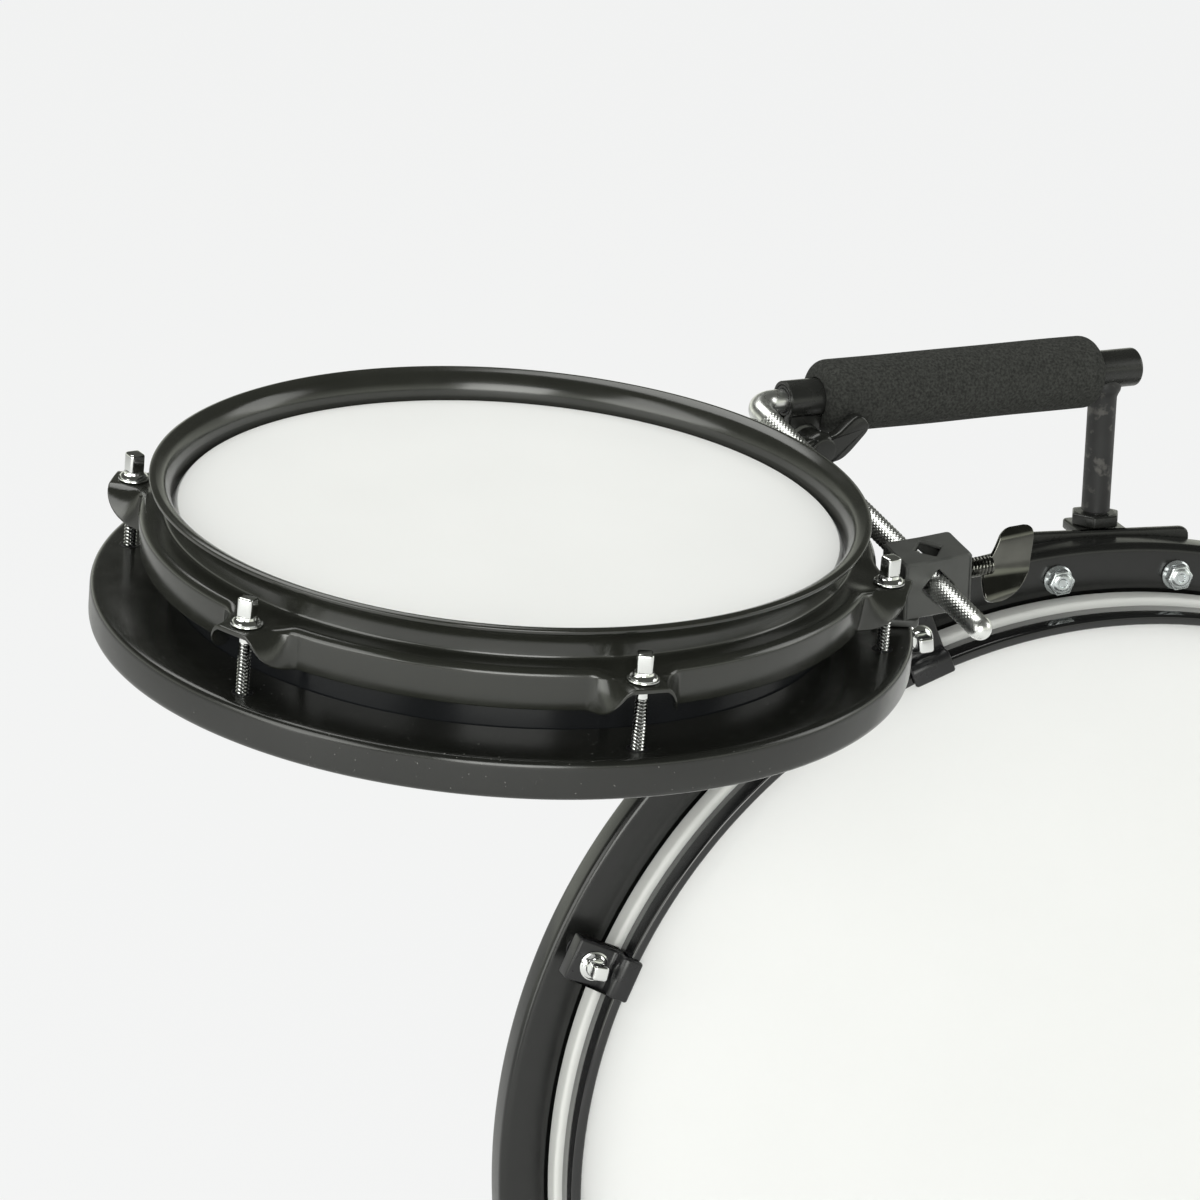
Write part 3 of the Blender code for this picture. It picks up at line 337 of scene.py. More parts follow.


# Bright chrome with painted shade in the bottoms of its thread grooves.
chrome = finish("bright_chrome", (0.86, 0.87, 0.86), 0.1, metal=1.0, mottle=0.04, patches=120.0,
                uneven=0.05, groove_shade=0.85)
claw_coat = finish("claw_powder_coat", (0.014, 0.014, 0.015), 0.3, grain=900.0, relief=0.25, depth=0.05)
CLAW_SIDE = [(228.9, 25.8), (228.9, 27.9), (235.6, 28.1), (237.6, 26.8), (238.2, 24.6), (238.3, 21.6),
             (239.6, 20.7), (255.0, 20.7), (255.7, 20.0), (255.7, 12.0), (253.4, 12.0), (253.4, 18.3),
             (237.3, 18.3), (237.3, 12.0), (234.9, 12.0), (234.9, 25.7)]
CLAW_RADII = [0.4, 1.0, 2.2, 1.4, 1.2, 1.2, 1.0, 1.4, 0.8, 0.6, 0.6, 0.8, 0.5, 0.4, 0.4, 0.8]
for k, a in enumerate(claw_angles):
    out = BASS[1] @ polar(1, a, 0)
    forward = np.array([0.0, -1.0, 0.0])
    side_on = BASS[0], np.column_stack([out, forward, np.cross(out, forward)])
    at = axes(BASS[0] + out * ROD_CIRCLE, forward, out)
    piece(f"bass_drum_claw_{k + 1}",
          [slab(softened(CLAW_SIDE, CLAW_RADII, 3), -9.0, 9.0, side_on, edge=1.1)],
          claw_coat, "bass_drum", f"bass_claw_{k + 1}")
    piece(f"bass_tension_rod_{k + 1}",
          [threaded(2.5, -12.0, 21.0, at),
           turned([(0, 20.9), (6.0, 20.9), (6.25, 21.2), (6.2, 21.6), (5.4, 21.9), (5.6, 22.2), (5.2, 22.8),
                   (4.2, 23.4), (3.9, 24.3), (0, 24.3)], at, 40),
           square_key_head(23.6, 31.6, at, twist=math.radians(20 + 27 * k))],
          chrome, f"bass_rod_{k + 1}", f"bass_rod_{k + 1}")

# ---- handle bracket ------------------------------------------------------------------
# A steel plate behind the top of the ring with a tab folded back, held by two flanged
# bolts with a dimple in each head. The handle's post screws into the tab under a jam nut.
UPRIGHT = np.array([0, 0, BASS_AXIS]), np.eye(3)
steel_coat = finish("steel_powder_coat", (0.017, 0.0175, 0.016), 0.28, grain=1100.0, relief=0.12, depth=0.04)
piece("handle_bracket_plate",
      [slab(rectangle(-38, 235, 38, 259, 4.0), -20.3, -16.3, BASS, edge=0.9),
       slab(rectangle(-11, 17, 11, 39.2, [0.2, 0.2, 4, 4]), 255.0, 259.0, UPRIGHT, edge=0.8)],
      steel_coat, "bass_drum", "handle_bracket")


def hexagon(across_flats):
    """The six corners of a hexagon by its width across flats."""
    a = np.radians(60.0 * np.arange(6) + 8.0)
    return np.stack([np.cos(a), np.sin(a)], -1) * across_flats / 2 / math.cos(math.pi / 6)


zinc = finish("zinc_plate", (0.66, 0.7, 0.71), 0.24, metal=0.85, mottle=0.12, patches=260.0, grain=900.0,
              relief=0.2)


def flanged_bolt(name, x, z, shank, node):
    """A hexagon bolt with a round flange: a turned flange and dimpled crown on a hexagon."""
    at = axes([x, 0, BASS_AXIS + z], [0, -1, 0], [1, 0, 0])
    piece(name,
          [turned([(0, 0.3), (6.1, 0.3), (6.3, 0.6), (6.2, 1.0), (5.6, 1.5), (5.1, 2.1), (0, 2.1)], at, 48),
           slab(softened(hexagon(10.0), 0.5, 2), 1.8, 6.0, at, edge=0.7),
           turned([(0, 5.4), (0.9, 5.5), (1.5, 5.9), (1.9, 6.5), (2.6, 6.7), (3.4, 6.5), (4.3, 5.9),
                   (4.6, 5.0), (0, 5.0)], at, 40),
           threaded(3.0, -shank, 0.4, at, pitch=1.0)],
          zinc, "bass_drum", node, crease=32.0)


for k, x in enumerate((-26.3, 26.3)):
    flanged_bolt(f"bracket_bolt_{k + 1}", x, 243.5, 23.0, f"handle_bolt_{k + 1}")
POST_AT = np.array([0, 28.2, BASS_AXIS]), np.eye(3)
piece("handle_post_nut", [slab(softened(hexagon(19.0), 0.8, 3), 259.3, 264.0, POST_AT, edge=0.7),
                          turned([(0, 263.6), (8.6, 263.6), (8.2, 264.1), (0, 264.1)], POST_AT, 40)],
      steel_coat, "bass_drum", "handle_jam_nut")

# ---- handle --------------------------------------------------------------------------
# Post and tube are welded steel, painted black and rubbed bare in places on the post. The
# tube's left end is slit underneath between two ears, so that a bolt can clamp the rod.
TUBE_R, TUBE_BORE, TUBE_LEFT, SLIT_FROM = 8.0, 6.5, 155.3, 125.3
YAW = math.radians(12.0)
ALONG = np.array([-math.cos(YAW), -math.sin(YAW), 0])
ACROSS = np.array([math.sin(YAW), -math.cos(YAW), 0])
UP = np.array([0, 0, 1.0])
TUBE_AT = np.array([0, 28.2, 600.4])
TUBE_AXIS = TUBE_AT, np.column_stack([ACROSS, UP, ALONG])
rubbed = finish("rubbed_black_paint", (0.02, 0.02, 0.02), 0.45, spec=0.4, relief=0.3, depth=0.05, worn=0.55)
OPEN = math.radians(13.0)
a = np.linspace(-np.pi / 2 + OPEN, 1.5 * np.pi - OPEN, 49)
slit_outline = np.vstack([polar(TUBE_R, a, 0), polar(TUBE_BORE, a, 0)[::-1]])[:, :2]
EAR = softened([(140.3, -5.0), (140.3, -24.0), (155.1, -24.0), (155.1, -5.0)], [0.3, 5.0, 5.0, 0.3], 6)
EAR_SIDE = TUBE_AT, np.column_stack([ALONG, UP, -ACROSS])
piece("handle_tube",
      [turned(rectangle(0, -14.5, TUBE_R, SLIT_FROM, [0, 1.2, 0.1, 0]), TUBE_AXIS, 64),
       slab(slit_outline, SLIT_FROM - 0.5, TUBE_LEFT, TUBE_AXIS, edge=0.3),
       slab(EAR, 1.8, 6.0, EAR_SIDE, edge=0.9), slab(EAR, -6.0, -1.8, EAR_SIDE, edge=0.9)],
      steel_coat, "handle", "handle_frame")
piece("handle_post",
      [turned([(0, 250), (5.0, 250), (5.0, 264.5), (6.0, 265.0), (6.0, 314.0), (6.5, 315.5), (7.3, 317.0),
               (7.6, 319.0), (7.0, 321.5), (4.0, 323.0), (0, 323.0)], POST_AT, 48)],
      rubbed, "handle")

# ---- foam grip -----------------------------------------------------------------------
# Soft foam sleeve: a turned roll with dented, rounded ends, its skin closed but finely
# pitted. Its surface wanders by a few tenths of a millimetre where it was squeezed on.
foam = finish("charcoal_foam", (0.034, 0.035, 0.032), 0.9, spec=0.22, mottle=0.5, patches=900.0, grain=1300.0,
              relief=1.0, depth=0.4, uneven=0.05)
GRIP_R, GRIP_BORE, GRIP_FROM, GRIP_LENGTH, ROUNDED = 15.0, 8.3, 6.5, 133.3, 6.0
a = np.linspace(0, 2 * np.pi, 97)[None, :]
s = np.linspace(0, 1, 121)[:, None]
length_at = GRIP_FROM + GRIP_LENGTH * s
end_round = np.clip(np.minimum(s, 1 - s) * GRIP_LENGTH / ROUNDED, 0, 1)
radius = GRIP_R - ROUNDED * (1 - np.sqrt(1 - (1 - end_round) ** 2))
radius = radius + 0.06 * np.sin(3 * a + 9 * s) + 0.05 * np.sin(2 * a - 14 * s)
outer_skin = polar(radius, a, length_at)
inner_skin = polar(GRIP_BORE + 0 * s, a, length_at[::-1])[[0, -1]]
skin = np.concatenate([outer_skin, inner_skin, outer_skin[:1]])
grip = piece("handle_foam_grip", [shell_of(put(skin, TUBE_AXIS))],
             foam, "handle", "handle_grip", crease=60.0)

# ---- clamp bolt and knob -------------------------------------------------------------
# A domed bolt runs through both ears from the rear. The moulded black knob turns on it
# over a bright domed washer; its two lobes lie square to the bolt, clear of the grip.
CLAMP_ALONG, CLAMP_BELOW = 147.8, 16.5
CLAMP_AT = TUBE_AT + ALONG * CLAMP_ALONG - UP * CLAMP_BELOW
CLAMP = axes(CLAMP_AT, ACROSS, ALONG)
piece("clamp_bolt_domed",
      [turned([(0, -11.0), (2.2, -10.8), (4.2, -10.0), (5.5, -8.6), (6.0, -6.8), (6.0, -6.3), (0, -6.3)],
              CLAMP, 40),
       threaded(2.5, -7.0, 20.5, CLAMP, pitch=0.8)],
      chrome, "handle", "clamp_bolt")
moulded = finish("moulded_black", (0.013, 0.0135, 0.012), 0.2, spec=0.55, grain=700.0, relief=0.15,
                 depth=0.04)
LOBE = np.array([(2.0, 5.4), (6.5, 6.6), (11.5, 10.8), (14.8, 13.4), (18.2, 13.0), (21.2, 9.2), (20.0, 6.2),
                 (12.4, -1.4), (8.4, -4.4), (3.0, -5.4)])
LOBE_RADII = [0.3, 3, 4, 3, 4, 3.5, 4, 4, 3, 0.3]
lobes = [slab(softened(LOBE * way, LOBE_RADII), 16.0, 22.2, CLAMP, edge=1.2, steps=4) for way in (-1, 1)]
piece("clamp_wing_nut",
      [turned(softened([(2.8, 7.4), (6.7, 7.4), (6.7, 15.0), (7.4, 17.2), (7.2, 20.6), (5.4, 22.4),
                        (0.0, 22.6), (0.0, 20.8), (2.8, 20.8)],
                       [0.2, 0.8, 1.2, 1.0, 1.6, 1.2, 0, 0, 0.1], 4), CLAMP, 48)] + lobes,
      moulded, "clamp_wing", "clamp_wing", crease=50.0)
piece("clamp_wing_washer",
      [turned(softened([(2.7, 6.2), (7.6, 6.2), (7.4, 6.9), (6.2, 7.9), (2.7, 7.9)],
                       [0.1, 0.2, 0.6, 0.8, 0.1], 3), CLAMP, 48)],
      chrome, "clamp_wing")

# ---- bush and L-rod ------------------------------------------------------------------
# A plastic bush lines the tube. The chrome rod bends a quarter turn outside it. Its long
# leg is diamond-knurled by rolling; the short leg, the bend and the round tip are polished.
bush_plastic = finish("bush_plastic", (0.02, 0.02, 0.02), 0.45, relief=0.2)
piece("rod_bush_sleeve", [turned(rectangle(5.05, TUBE_LEFT - 40.0, 6.2, TUBE_LEFT, 0.3, 3), TUBE_AXIS, 48)],
      bush_plastic, "bush", "rod_bush")
ROD_INNER_END, CORNER_ALONG = 106.0, 170.0
CORNER = TUBE_AT + ALONG * CORNER_ALONG
DROP = math.radians(14.46)
LEG = unit(ACROSS * math.cos(DROP) - UP * math.sin(DROP))
LEG_LENGTH, ROD_R, BEND, TIP_R, TIP_STEPS = 187.9, 4.75, 10.0, 4.6, 12


def swept(path, radii, sides, first):
    """A round bar along a path: at each point a circle square to the path's direction, with
    a radius for each side. first is where the circle's start points to."""
    ahead_of = np.gradient(path, axis=0)
    ahead_of /= np.linalg.norm(ahead_of, axis=1)[:, None]
    side = unit(first) - ahead_of * np.sum(unit(first) * ahead_of, 1)[:, None]
    side /= np.linalg.norm(side, axis=1)[:, None]
    other = np.cross(ahead_of, side)
    a = np.linspace(0, 2 * np.pi, sides + 1)[None, :, None]
    rim = side[:, None] * np.cos(a) + other[:, None] * np.sin(a)
    return shell_of(path[:, None] + rim * radii[..., None])


# The knurl: groove walls are |sin| waves of pi (turn x GROOVES +- length / PITCH), the lower
# of the two sets counts, and they run out within a millimetre at the bend and the tip.
GROOVES, PITCH, DEEP = 18, 2.3, 0.3
short_leg = TUBE_AT[None] + ALONG[None] * np.linspace(ROD_INNER_END, CORNER_ALONG - BEND, 30)[:, None]
a = np.linspace(0, np.pi / 2, 25)[1:, None]
bend = CORNER - ALONG * BEND * (1 - np.sin(a)) + LEG * BEND * (1 - np.cos(a))
down = np.arange(BEND + 1, LEG_LENGTH - TIP_R, PITCH / 6)[:, None]
a = np.linspace(0, np.pi / 2, TIP_STEPS)[1:, None]
tip = CORNER + LEG * (LEG_LENGTH - TIP_R + TIP_R * np.sin(a))
around = np.linspace(0, 1, 6 * GROOVES + 1)[None, :]
ridge = np.minimum(np.abs(np.sin(np.pi * (GROOVES * around + down / PITCH))),
                   np.abs(np.sin(np.pi * (GROOVES * around - down / PITCH))))
fade = np.clip(np.minimum(down - BEND - 6.0, LEG_LENGTH - 7.5 - down) / 0.8, 0, 1)
whole = np.ones_like(around)
plain = np.full((len(short_leg) + len(bend), 1), ROD_R)
radii = np.vstack([0.01 * whole, plain * whole, ROD_R - DEEP * (1 - ridge) * fade,
                   (TIP_R * np.cos(a) + 0.01) * whole])
path = np.vstack([short_leg[:1] - ALONG * 0.01, short_leg, bend, CORNER[None] + LEG[None] * down, tip])
knurl_shell = swept(path, radii, 6 * GROOVES, np.cross(ALONG, LEG))
grooved = np.arange(len(path)) < len(path) - len(tip)
# The map's second column is minus the knurl's groove depth on the knurled part, which the rod's finish reads
# to paint shade into the grooves.
knurl_shell[2][:, 1] = (np.minimum((radii - ROD_R) / DEEP, 0) * grooved[:, None]).ravel()
# Chrome with painted shade in the bottoms of the knurl's grooves.
rod_chrome = finish("rod_chrome", (0.9, 0.91, 0.89), 0.3, metal=1.0, mottle=0.08, patches=200.0, uneven=0.05,
                    groove_shade=0.45)
piece("l_rod_knurled", [knurl_shell], rod_chrome, "rod", "l_rod", crease=60.0)

# ---- small drum: base ring -----------------------------------------------------------
# A wide wooden annulus, rounded over and painted like the bass drum's ring, and flecked
# with dust. Six threaded sockets take the tension rods.


def turn_about(axis, degrees):
    """The 3x3 turn by an angle about the world's X or Y axis."""
    c, s = math.cos(math.radians(degrees)), math.sin(math.radians(degrees))
    if axis == 'X':
        return np.array([[1, 0, 0], [0, c, -s], [0, s, c]])
    return np.array([[c, 0, s], [0, 1, 0], [-s, 0, c]])


NORMAL = unit(turn_about('Y', 0.45) @ turn_about('X', 6.44) @ UP)
SMALL = axes([-296.7, -110.75, 596.6], NORMAL, [1, 0, 0])
RING_TOP, RING_LOW, RING_OUT = -43.3, -59.0, 158.5
SHELL_IN, SHELL_OUT = 121.6, 127.6
ring_paint = finish("dusted_black_paint", (0.0098, 0.0102, 0.0086), 0.22, spec=0.72, uneven=0.03, specks=0.17)
piece("small_drum_base_ring",
      [turned(rectangle(127.9, RING_TOP, RING_OUT, RING_LOW, [0.5, 3.2, 3.6, 0.5], 7), SMALL, 320)],
      ring_paint, "small_drum", "small_ring")
FIRST_ROD = 153.7
rod_bearings = FIRST_ROD + 60.0 * np.arange(6)
rod_places = [moved(SMALL, polar(147.4, a, 0)) for a in np.radians(rod_bearings)]
piece("base_ring_sockets",
      [turned(softened([(2.7, -1.5), (2.7, 0.1), (3.9, 0.15), (4.4, -0.3), (4.4, -1.5)], 0.15, 2),
              (at[0] + NORMAL * RING_TOP, at[1]), 32) for at in rod_places],
      socket_dark, "small_drum")

# ---- small drum: shell, head and flanged hoop ----------------------------------------
# A black lacquered shell with its coated head. The pressed steel hoop has a rolled lip,
# an upright wall, a shelf that pulls on the flesh hoop, and a skirt that swings out flat
# into an ear at each of the six rods.
piece("small_drum_shell",
      [turned(softened([(SHELL_IN, RING_LOW), (SHELL_OUT, RING_LOW), (SHELL_OUT, -13.3), (126.2, -11.0),
                        (SHELL_IN, -14.2)],
                       [0.6, 0.6, 1.2, 1.0, 0.6], 4), SMALL, 256)],
      lacquer, "small_drum", "small_shell")
film = [(0, -10.2), (40, -10.2), (80, -10.2), (118, -10.2), (124, -10.3), (126.8, -10.7), (128.0, -12.2),
        (128.4, -14.0), (128.4, -17.6), (133.0, -17.8), (133.2, -21.6), (132.8, -22.0), (127.9, -22.0),
        (127.9, -13.4), (126.4, -11.2), (120, -10.7), (60, -10.7), (0, -10.7)]
piece("small_head_film", [turned(film, SMALL, 288)], coated_film, "small_drum", "small_head")
SHEET_HALF = 1.0  # half the thickness of the hoop's sheet


def ear_at(degrees):
    """1 across an ear and 0 between ears: a smooth step x x (3 - 2x) of the angle off the rod."""
    off = np.abs((degrees + 30.0) % 60.0 - 30.0)
    x = np.clip((7.4 - off) / 5.0, 0, 1)
    return x * x * (3 - 2 * x)


def hoop_sections(degrees):
    """The hoop's closed cross-sections (angles, points, 2). The skirt is a strip that hinges
    at the shelf's edge; its direction swings from hanging at -96 degrees to level at an ear."""
    e = ear_at(degrees)
    swing = np.radians(-96 + 95.5 * e)
    length = 15.2 - 2.2 * e
    cx, cz = 140.6 + 2.2 * e, -15.6 - 1.7 * e
    dx, dz = np.cos(swing), np.sin(swing)
    nx, nz = -dz * SHEET_HALF, dx * SHEET_HALF
    one = np.ones_like(e)
    corners = [(138.3 * one, -0.3 * one), (138.2 * one, -1.9 * one), (134.4 * one, -2.7 * one),
               (131.5 * one, -6.6 * one), (131.6 * one, -14.0 * one), (139.4 + 0.6 * e, -14.2 - 1.7 * e),
               (cx + nx + dx * 0.8, cz + nz + dz * 0.8), (cx + nx + dx * length, cz + nz + dz * length),
               (cx - nx + dx * length, cz - nz + dz * length), (cx - nx + dx * 1.6, cz - nz + dz * 1.6),
               (138.2 * one, -16.4 - 1.7 * e), (129.6 * one, -16.4 * one), (129.4 * one, -6.6 * one),
               (132.4 * one, -1.2 * one), (136.4 * one, 0.5 * one)]
    return np.stack([np.stack(c, -1) for c in corners], 1)


degrees = np.concatenate([
    np.linspace(start + low, start + high, count, endpoint=False) for start in rod_bearings
    for low, high, count in ((-30, -10, 20), (-10, -3.2, 22), (-3.2, 3.2, 10), (3.2, 10, 22), (10, 30, 20))])
rounding = [0.5, 0.6, 1.8, 2.6, 1.4, 1.6, 1.2, 0.7, 0.7, 1.2, 1.6, 1.2, 2.6, 1.8, 0.9]
smooth = softened(hoop_sections((degrees - FIRST_ROD) % 60.0), rounding, 3, share=0.48)
smooth = np.concatenate([smooth, smooth[:, :1]], 1)
smooth = np.concatenate([smooth, smooth[:1]], 0)
a = np.radians(np.append(degrees, degrees[0] + 360.0))[:, None]
hoop_grid = polar(smooth[..., 0], a, smooth[..., 1])
hoop_coat = finish("hoop_powder_coat", (0.018, 0.0188, 0.0152), 0.19, spec=0.75, patches=35.0, uneven=0.03)
piece("small_flanged_hoop", [shell_of(put(hoop_grid, SMALL))], hoop_coat, "small_drum", "small_hoop",
      crease=60.0)

# ---- small drum: tension rods --------------------------------------------------------
# Square key heads on a rolled collar with a thin washer; a short plain neck, then thread
# down into the ring's sockets.
for k, at in enumerate(rod_places):
    piece(f"small_tension_rod_{k + 1}",
          [threaded(2.6, RING_TOP - 8.0, -22.0, at, pitch=1.4, cut=0.6),
           turned([(0, -23.0), (2.45, -23.0), (2.5, -22.4), (2.5, -16.1), (0, -16.1)], at, 32),
           turned([(0, -16.0), (5.8, -16.0), (6.1, -15.7), (6.0, -15.3), (5.2, -15.1), (5.4, -14.8),
                   (5.0, -14.1), (4.0, -13.6), (3.7, -12.8), (0, -12.8)], at, 44),
           square_key_head(-13.4, -5.4, at, width=6.2, twist=math.radians(15 + 31 * k))],
          chrome, f"small_rod_{k + 1}", f"small_rod_{k + 1}")

# ---- rod block -----------------------------------------------------------------------
# A box folded from steel sheet stands on a foot on the ring. Diamond openings in its front
# and back let the L-rod through and grip it on two flats; its roof has one more.
FROM_TIP, HALF_X, HALF_Y, BLOCK_LOW = 45.5, 15.0, 9.0, -11.4
BLOCK_AT = CORNER + LEG * (LEG_LENGTH - FROM_TIP)
block_x = unit(np.cross(LEG, NORMAL))
block_z = np.cross(block_x, LEG)
ROLL = math.radians(3.0)
c, s = math.cos(ROLL), math.sin(ROLL)
block_x, block_z = block_x * c - block_z * s, block_z * c + block_x * s
BLOCK = BLOCK_AT, np.column_stack([block_x, LEG, block_z])
block_coat = finish("block_powder_coat", (0.058, 0.06, 0.056), 0.34, spec=0.6, patches=90.0, grain=1000.0,
                    relief=0.12, depth=0.04)


def pierced(outer, hole, low, high, turned_by, edge=0.5):
    """A plate with an opening. Both outlines are met by the same rays from the middle, and
    a closed band runs over the front, down the rim, back along the rear and up the hole."""
    angles = np.unique(np.concatenate([np.linspace(0, 2 * np.pi, 96, endpoint=False)]
                                      + [np.arctan2(o[:, 1], o[:, 0]) % (2 * np.pi) for o in (outer, hole)]))
    rays = np.stack([np.cos(angles), np.sin(angles)], -1)

    def reach(outline):
        p, q = outline, np.roll(outline, -1, 0)
        across = rays[:, None, 0] * (q - p)[None, :, 1] - rays[:, None, 1] * (q - p)[None, :, 0]
        across = np.where(np.abs(across) < 1e-12, 1e-12, across)
        far = (p[None, :, 0] * (q - p)[None, :, 1] - p[None, :, 1] * (q - p)[None, :, 0]) / across
        share = (p[None, :, 0] * rays[:, None, 1] - p[None, :, 1] * rays[:, None, 0]) / across
        return np.where((far > 0) & (share > -1e-6) & (share < 1 + 1e-6), far, 1e9).min(1)

    far_out, far_in = reach(outer), reach(hole)
    band = [(far_out - edge, low), (far_out, low + edge), (far_out, high - edge), (far_out - edge, high),
            (far_in + edge, high), (far_in, high - edge), (far_in, low + edge), (far_in + edge, low),
            (far_out - edge, low)]
    grid = np.stack([np.concatenate([rays * r[:, None], np.full((len(rays), 1), z)], 1) for r, z in band])
    grid = np.concatenate([grid, grid[:, :1]], 1) @ np.asarray(turned_by, float).T
    return shell_of(grid)


def diamond(half):
    """A square stood on its corner, its corners barely rounded."""
    return softened([(half, 0), (0, half), (-half, 0), (0, -half)], 0.5, 2)


UPENDED = [[1, 0, 0], [0, 0, 1], [0, 1, 0]]
FLAT = np.zeros(3), np.eye(3)
wall = rectangle(-HALF_X, BLOCK_LOW, HALF_X, 10.6, [0.6, 0.6, 1.6, 1.6], 4)
front, rear = (pierced(wall, diamond(7.14), y, y + 2.0, UPENDED) for y in (7.0, -HALF_Y))
roof = pierced(rectangle(-HALF_X, -HALF_Y, HALF_X, HALF_Y, 1.8), diamond(6.2), 9.4, 11.5, np.eye(3), edge=0.8)
near_side, far_side = (slab(outline, BLOCK_LOW, 10.8, FLAT, edge=0.4) for outline in (
    rectangle(13.2, -HALF_Y, HALF_X, HALF_Y, [0.3, 1.7, 1.7, 0.3]),
    rectangle(-HALF_X, -HALF_Y, -13.2, HALF_Y, [1.7, 0.3, 0.3, 1.7])))
inner_dark = slab(rectangle(-12.6, -6.0, -9.2, 6.0, 0.4, 2), -10.6, 9.0, FLAT, edge=0.3)
LEAN = 0.17  # how far the box leans over per millimetre of height
walls = []
for points, quads, pattern in (front, rear, roof, near_side, far_side, inner_dark):
    leant = points.copy()
    leant[:, 1] -= LEAN * leant[:, 2]
    walls.append((put(leant, BLOCK), quads, pattern))
heading = (BLOCK_AT - SMALL[0]) @ SMALL[1]
bearing = math.atan2(heading[1], heading[0])
foot_x = SMALL[1] @ polar(1, bearing, 0)
FOOT = SMALL[0], np.column_stack([foot_x, np.cross(NORMAL, foot_x), NORMAL])
piece("rod_block_folded",
      walls + [slab(rectangle(141.5, -14, 160.0, 24, 3.0, 4), RING_TOP + 0.3, RING_TOP + 3.3, FOOT, edge=0.6),
               slab(rectangle(152.5, -8.5, 157.6, 8.5, 0.8, 3), RING_TOP + 2.3, -34.0, FOOT, edge=0.3)],
      block_coat, "small_drum", "rod_block", crease=35.0)
foot_screws = [turned([(0, 0), (4.2, 0), (4.2, 0.8), (3.4, 1.8), (1.8, 2.3), (1.6, 1.5), (0, 1.4)],
                      moved(FOOT, [146.5, y, RING_TOP + 3.3]), 32) for y in (-8.0, 17.0)]
piece("block_foot_screws", foot_screws, claw_coat, "small_drum")

# ---- rod block: wing bolt ------------------------------------------------------------
# A black-chromed screw into the box's right side. Its wing is one sheet in a shallow S, seen
# edge on along the bolt: a long blade leans out to the front, its far end rolled over.
BOLT = axes(BLOCK_AT, -block_x, block_z)
# Smoked chrome with painted shade in the bottoms of its thread grooves.
smoked_chrome = finish("smoked_chrome", (0.15, 0.15, 0.135), 0.13, metal=1.0, mottle=0.15, patches=70.0,
                       uneven=0.05, groove_shade=0.9)
WING = np.array([(-12.0, 8.5, 8.4, 18.0), (-8.5, 6.5, 8.2, 25.0), (-5.0, 2.0, 9.2, 30.6),
                 (0.0, 0.0, 11.6, 31.4), (6.0, -0.6, 15.0, 32.0), (10.8, -1.8, 17.4, 32.6),
                 (12.6, -4.2, 19.0, 32.0)])


def bent_sheet(stations, thick, lift, place, corner=3.0):
    """A bent sheet. Each station is x and y of its middle line and how far it reaches, low to
    high, along z; the reach shrinks by a quarter circle towards both ends of the line."""
    run_at = np.concatenate([[0], np.cumsum(np.linalg.norm(np.diff(stations[:, :2], axis=0), axis=1))])
    at = np.linspace(0, run_at[-1], 73)
    dense = np.stack([np.interp(at, run_at, stations[:, c]) for c in range(4)], -1)
    for _ in range(24):
        dense[1:-1] = (dense[:-2] + 2 * dense[1:-1] + dense[2:]) / 4
    along = np.gradient(dense[:, :2], axis=0)
    along /= np.linalg.norm(along, axis=1)[:, None]
    short = np.clip(np.minimum(at, at[-1] - at) / corner, 0, 1)
    draw = corner * (1 - np.sqrt(np.clip(1 - (1 - short) ** 2, 0, 1)))
    low, high = dense[:, 2] + draw + lift, dense[:, 3] - draw + lift
    middle, half = (low + high) / 2, (high - low) / 2
    loop = rectangle(-1, -1, 1, 1, [0.4] * 4, 3)
    loop = np.vstack([loop, loop[:1]])
    off = loop[None, :, 0] * thick / 2
    inset = (1 - np.abs(loop[None, :, 1])) * thick / 2
    z = middle[:, None] + np.sign(loop[None, :, 1]) * (half[:, None] - inset)
    grid = np.stack([dense[:, None, 0] - along[:, None, 1] * off,
                     dense[:, None, 1] + along[:, None, 0] * off, z], -1)
    return shell_of(put(grid, place), caps=True)


piece("block_wing_bolt",
      [threaded(4.0, 5.25, 28.5, BOLT, pitch=1.5, sides=32, cut=0.7), bent_sheet(WING, 2.0, 15.0, BOLT)],
      smoked_chrome, "block_bolt", "block_bolt", crease=45.0)

# ---- snare ---------------------------------------------------------------------------
# Ten coiled steel wires are soldered to a plate at each end and lie under the head. Clips
# hold the plates: one bar is fixed, the other slides when the knob's screw draws it out.
SNARE = SMALL[0], SMALL[1] @ np.array([[0.0, -1, 0], [1, 0, 0], [0, 0, 1]])
wire_steel = finish("snare_steel", (0.6, 0.61, 0.61), 0.22, metal=1.0, mottle=0.1, patches=150.0, relief=0.1,
                    depth=0.02)
bar_steel = finish("snare_bar_steel", (0.5, 0.5, 0.51), 0.3, metal=1.0, mottle=0.12, patches=100.0,
                   relief=0.2)
WIRE_H, WIRES, WIRE_GAP, WIRE_HALF, COILS, COIL_R, WIRE_R = -12.35, 10, 3.2, 88.0, 80, 0.55, 0.22
coils = []
s = np.linspace(0, 1, 961)
for k in range(WIRES):
    phase = 2 * np.pi * COILS * s
    centre = np.stack([-WIRE_HALF + 2 * WIRE_HALF * s,
                       (k - (WIRES - 1) / 2) * WIRE_GAP + COIL_R * np.cos(phase),
                       WIRE_H + COIL_R * np.sin(phase)], -1)
    a = np.linspace(0, 2 * np.pi, 6)[None, :]
    grid = centre[:, None] + np.stack([0 * a, np.cos(a), np.sin(a)], -1) * WIRE_R
    coils.append(shell_of(put(grid, SNARE), caps=True))
plates = [slab(rectangle(x0, -17, x1, 17, 1.5, 3), -13.0, -11.8, SNARE, edge=0.3)
          for x0, x1 in ((-97, -WIRE_HALF), (WIRE_HALF, 97))]
piece("snare_wire_coils", coils + plates, wire_steel, "small_drum", "snare_wires")
BAR_HALF = 9.0
SHELL_AT = math.sqrt((SHELL_IN - 0.5) ** 2 - BAR_HALF ** 2) - 0.3
EDGE_ON = SNARE[0], SNARE[1] @ np.array([[1.0, 0, 0], [0, 0, -1], [0, 1, 0]])
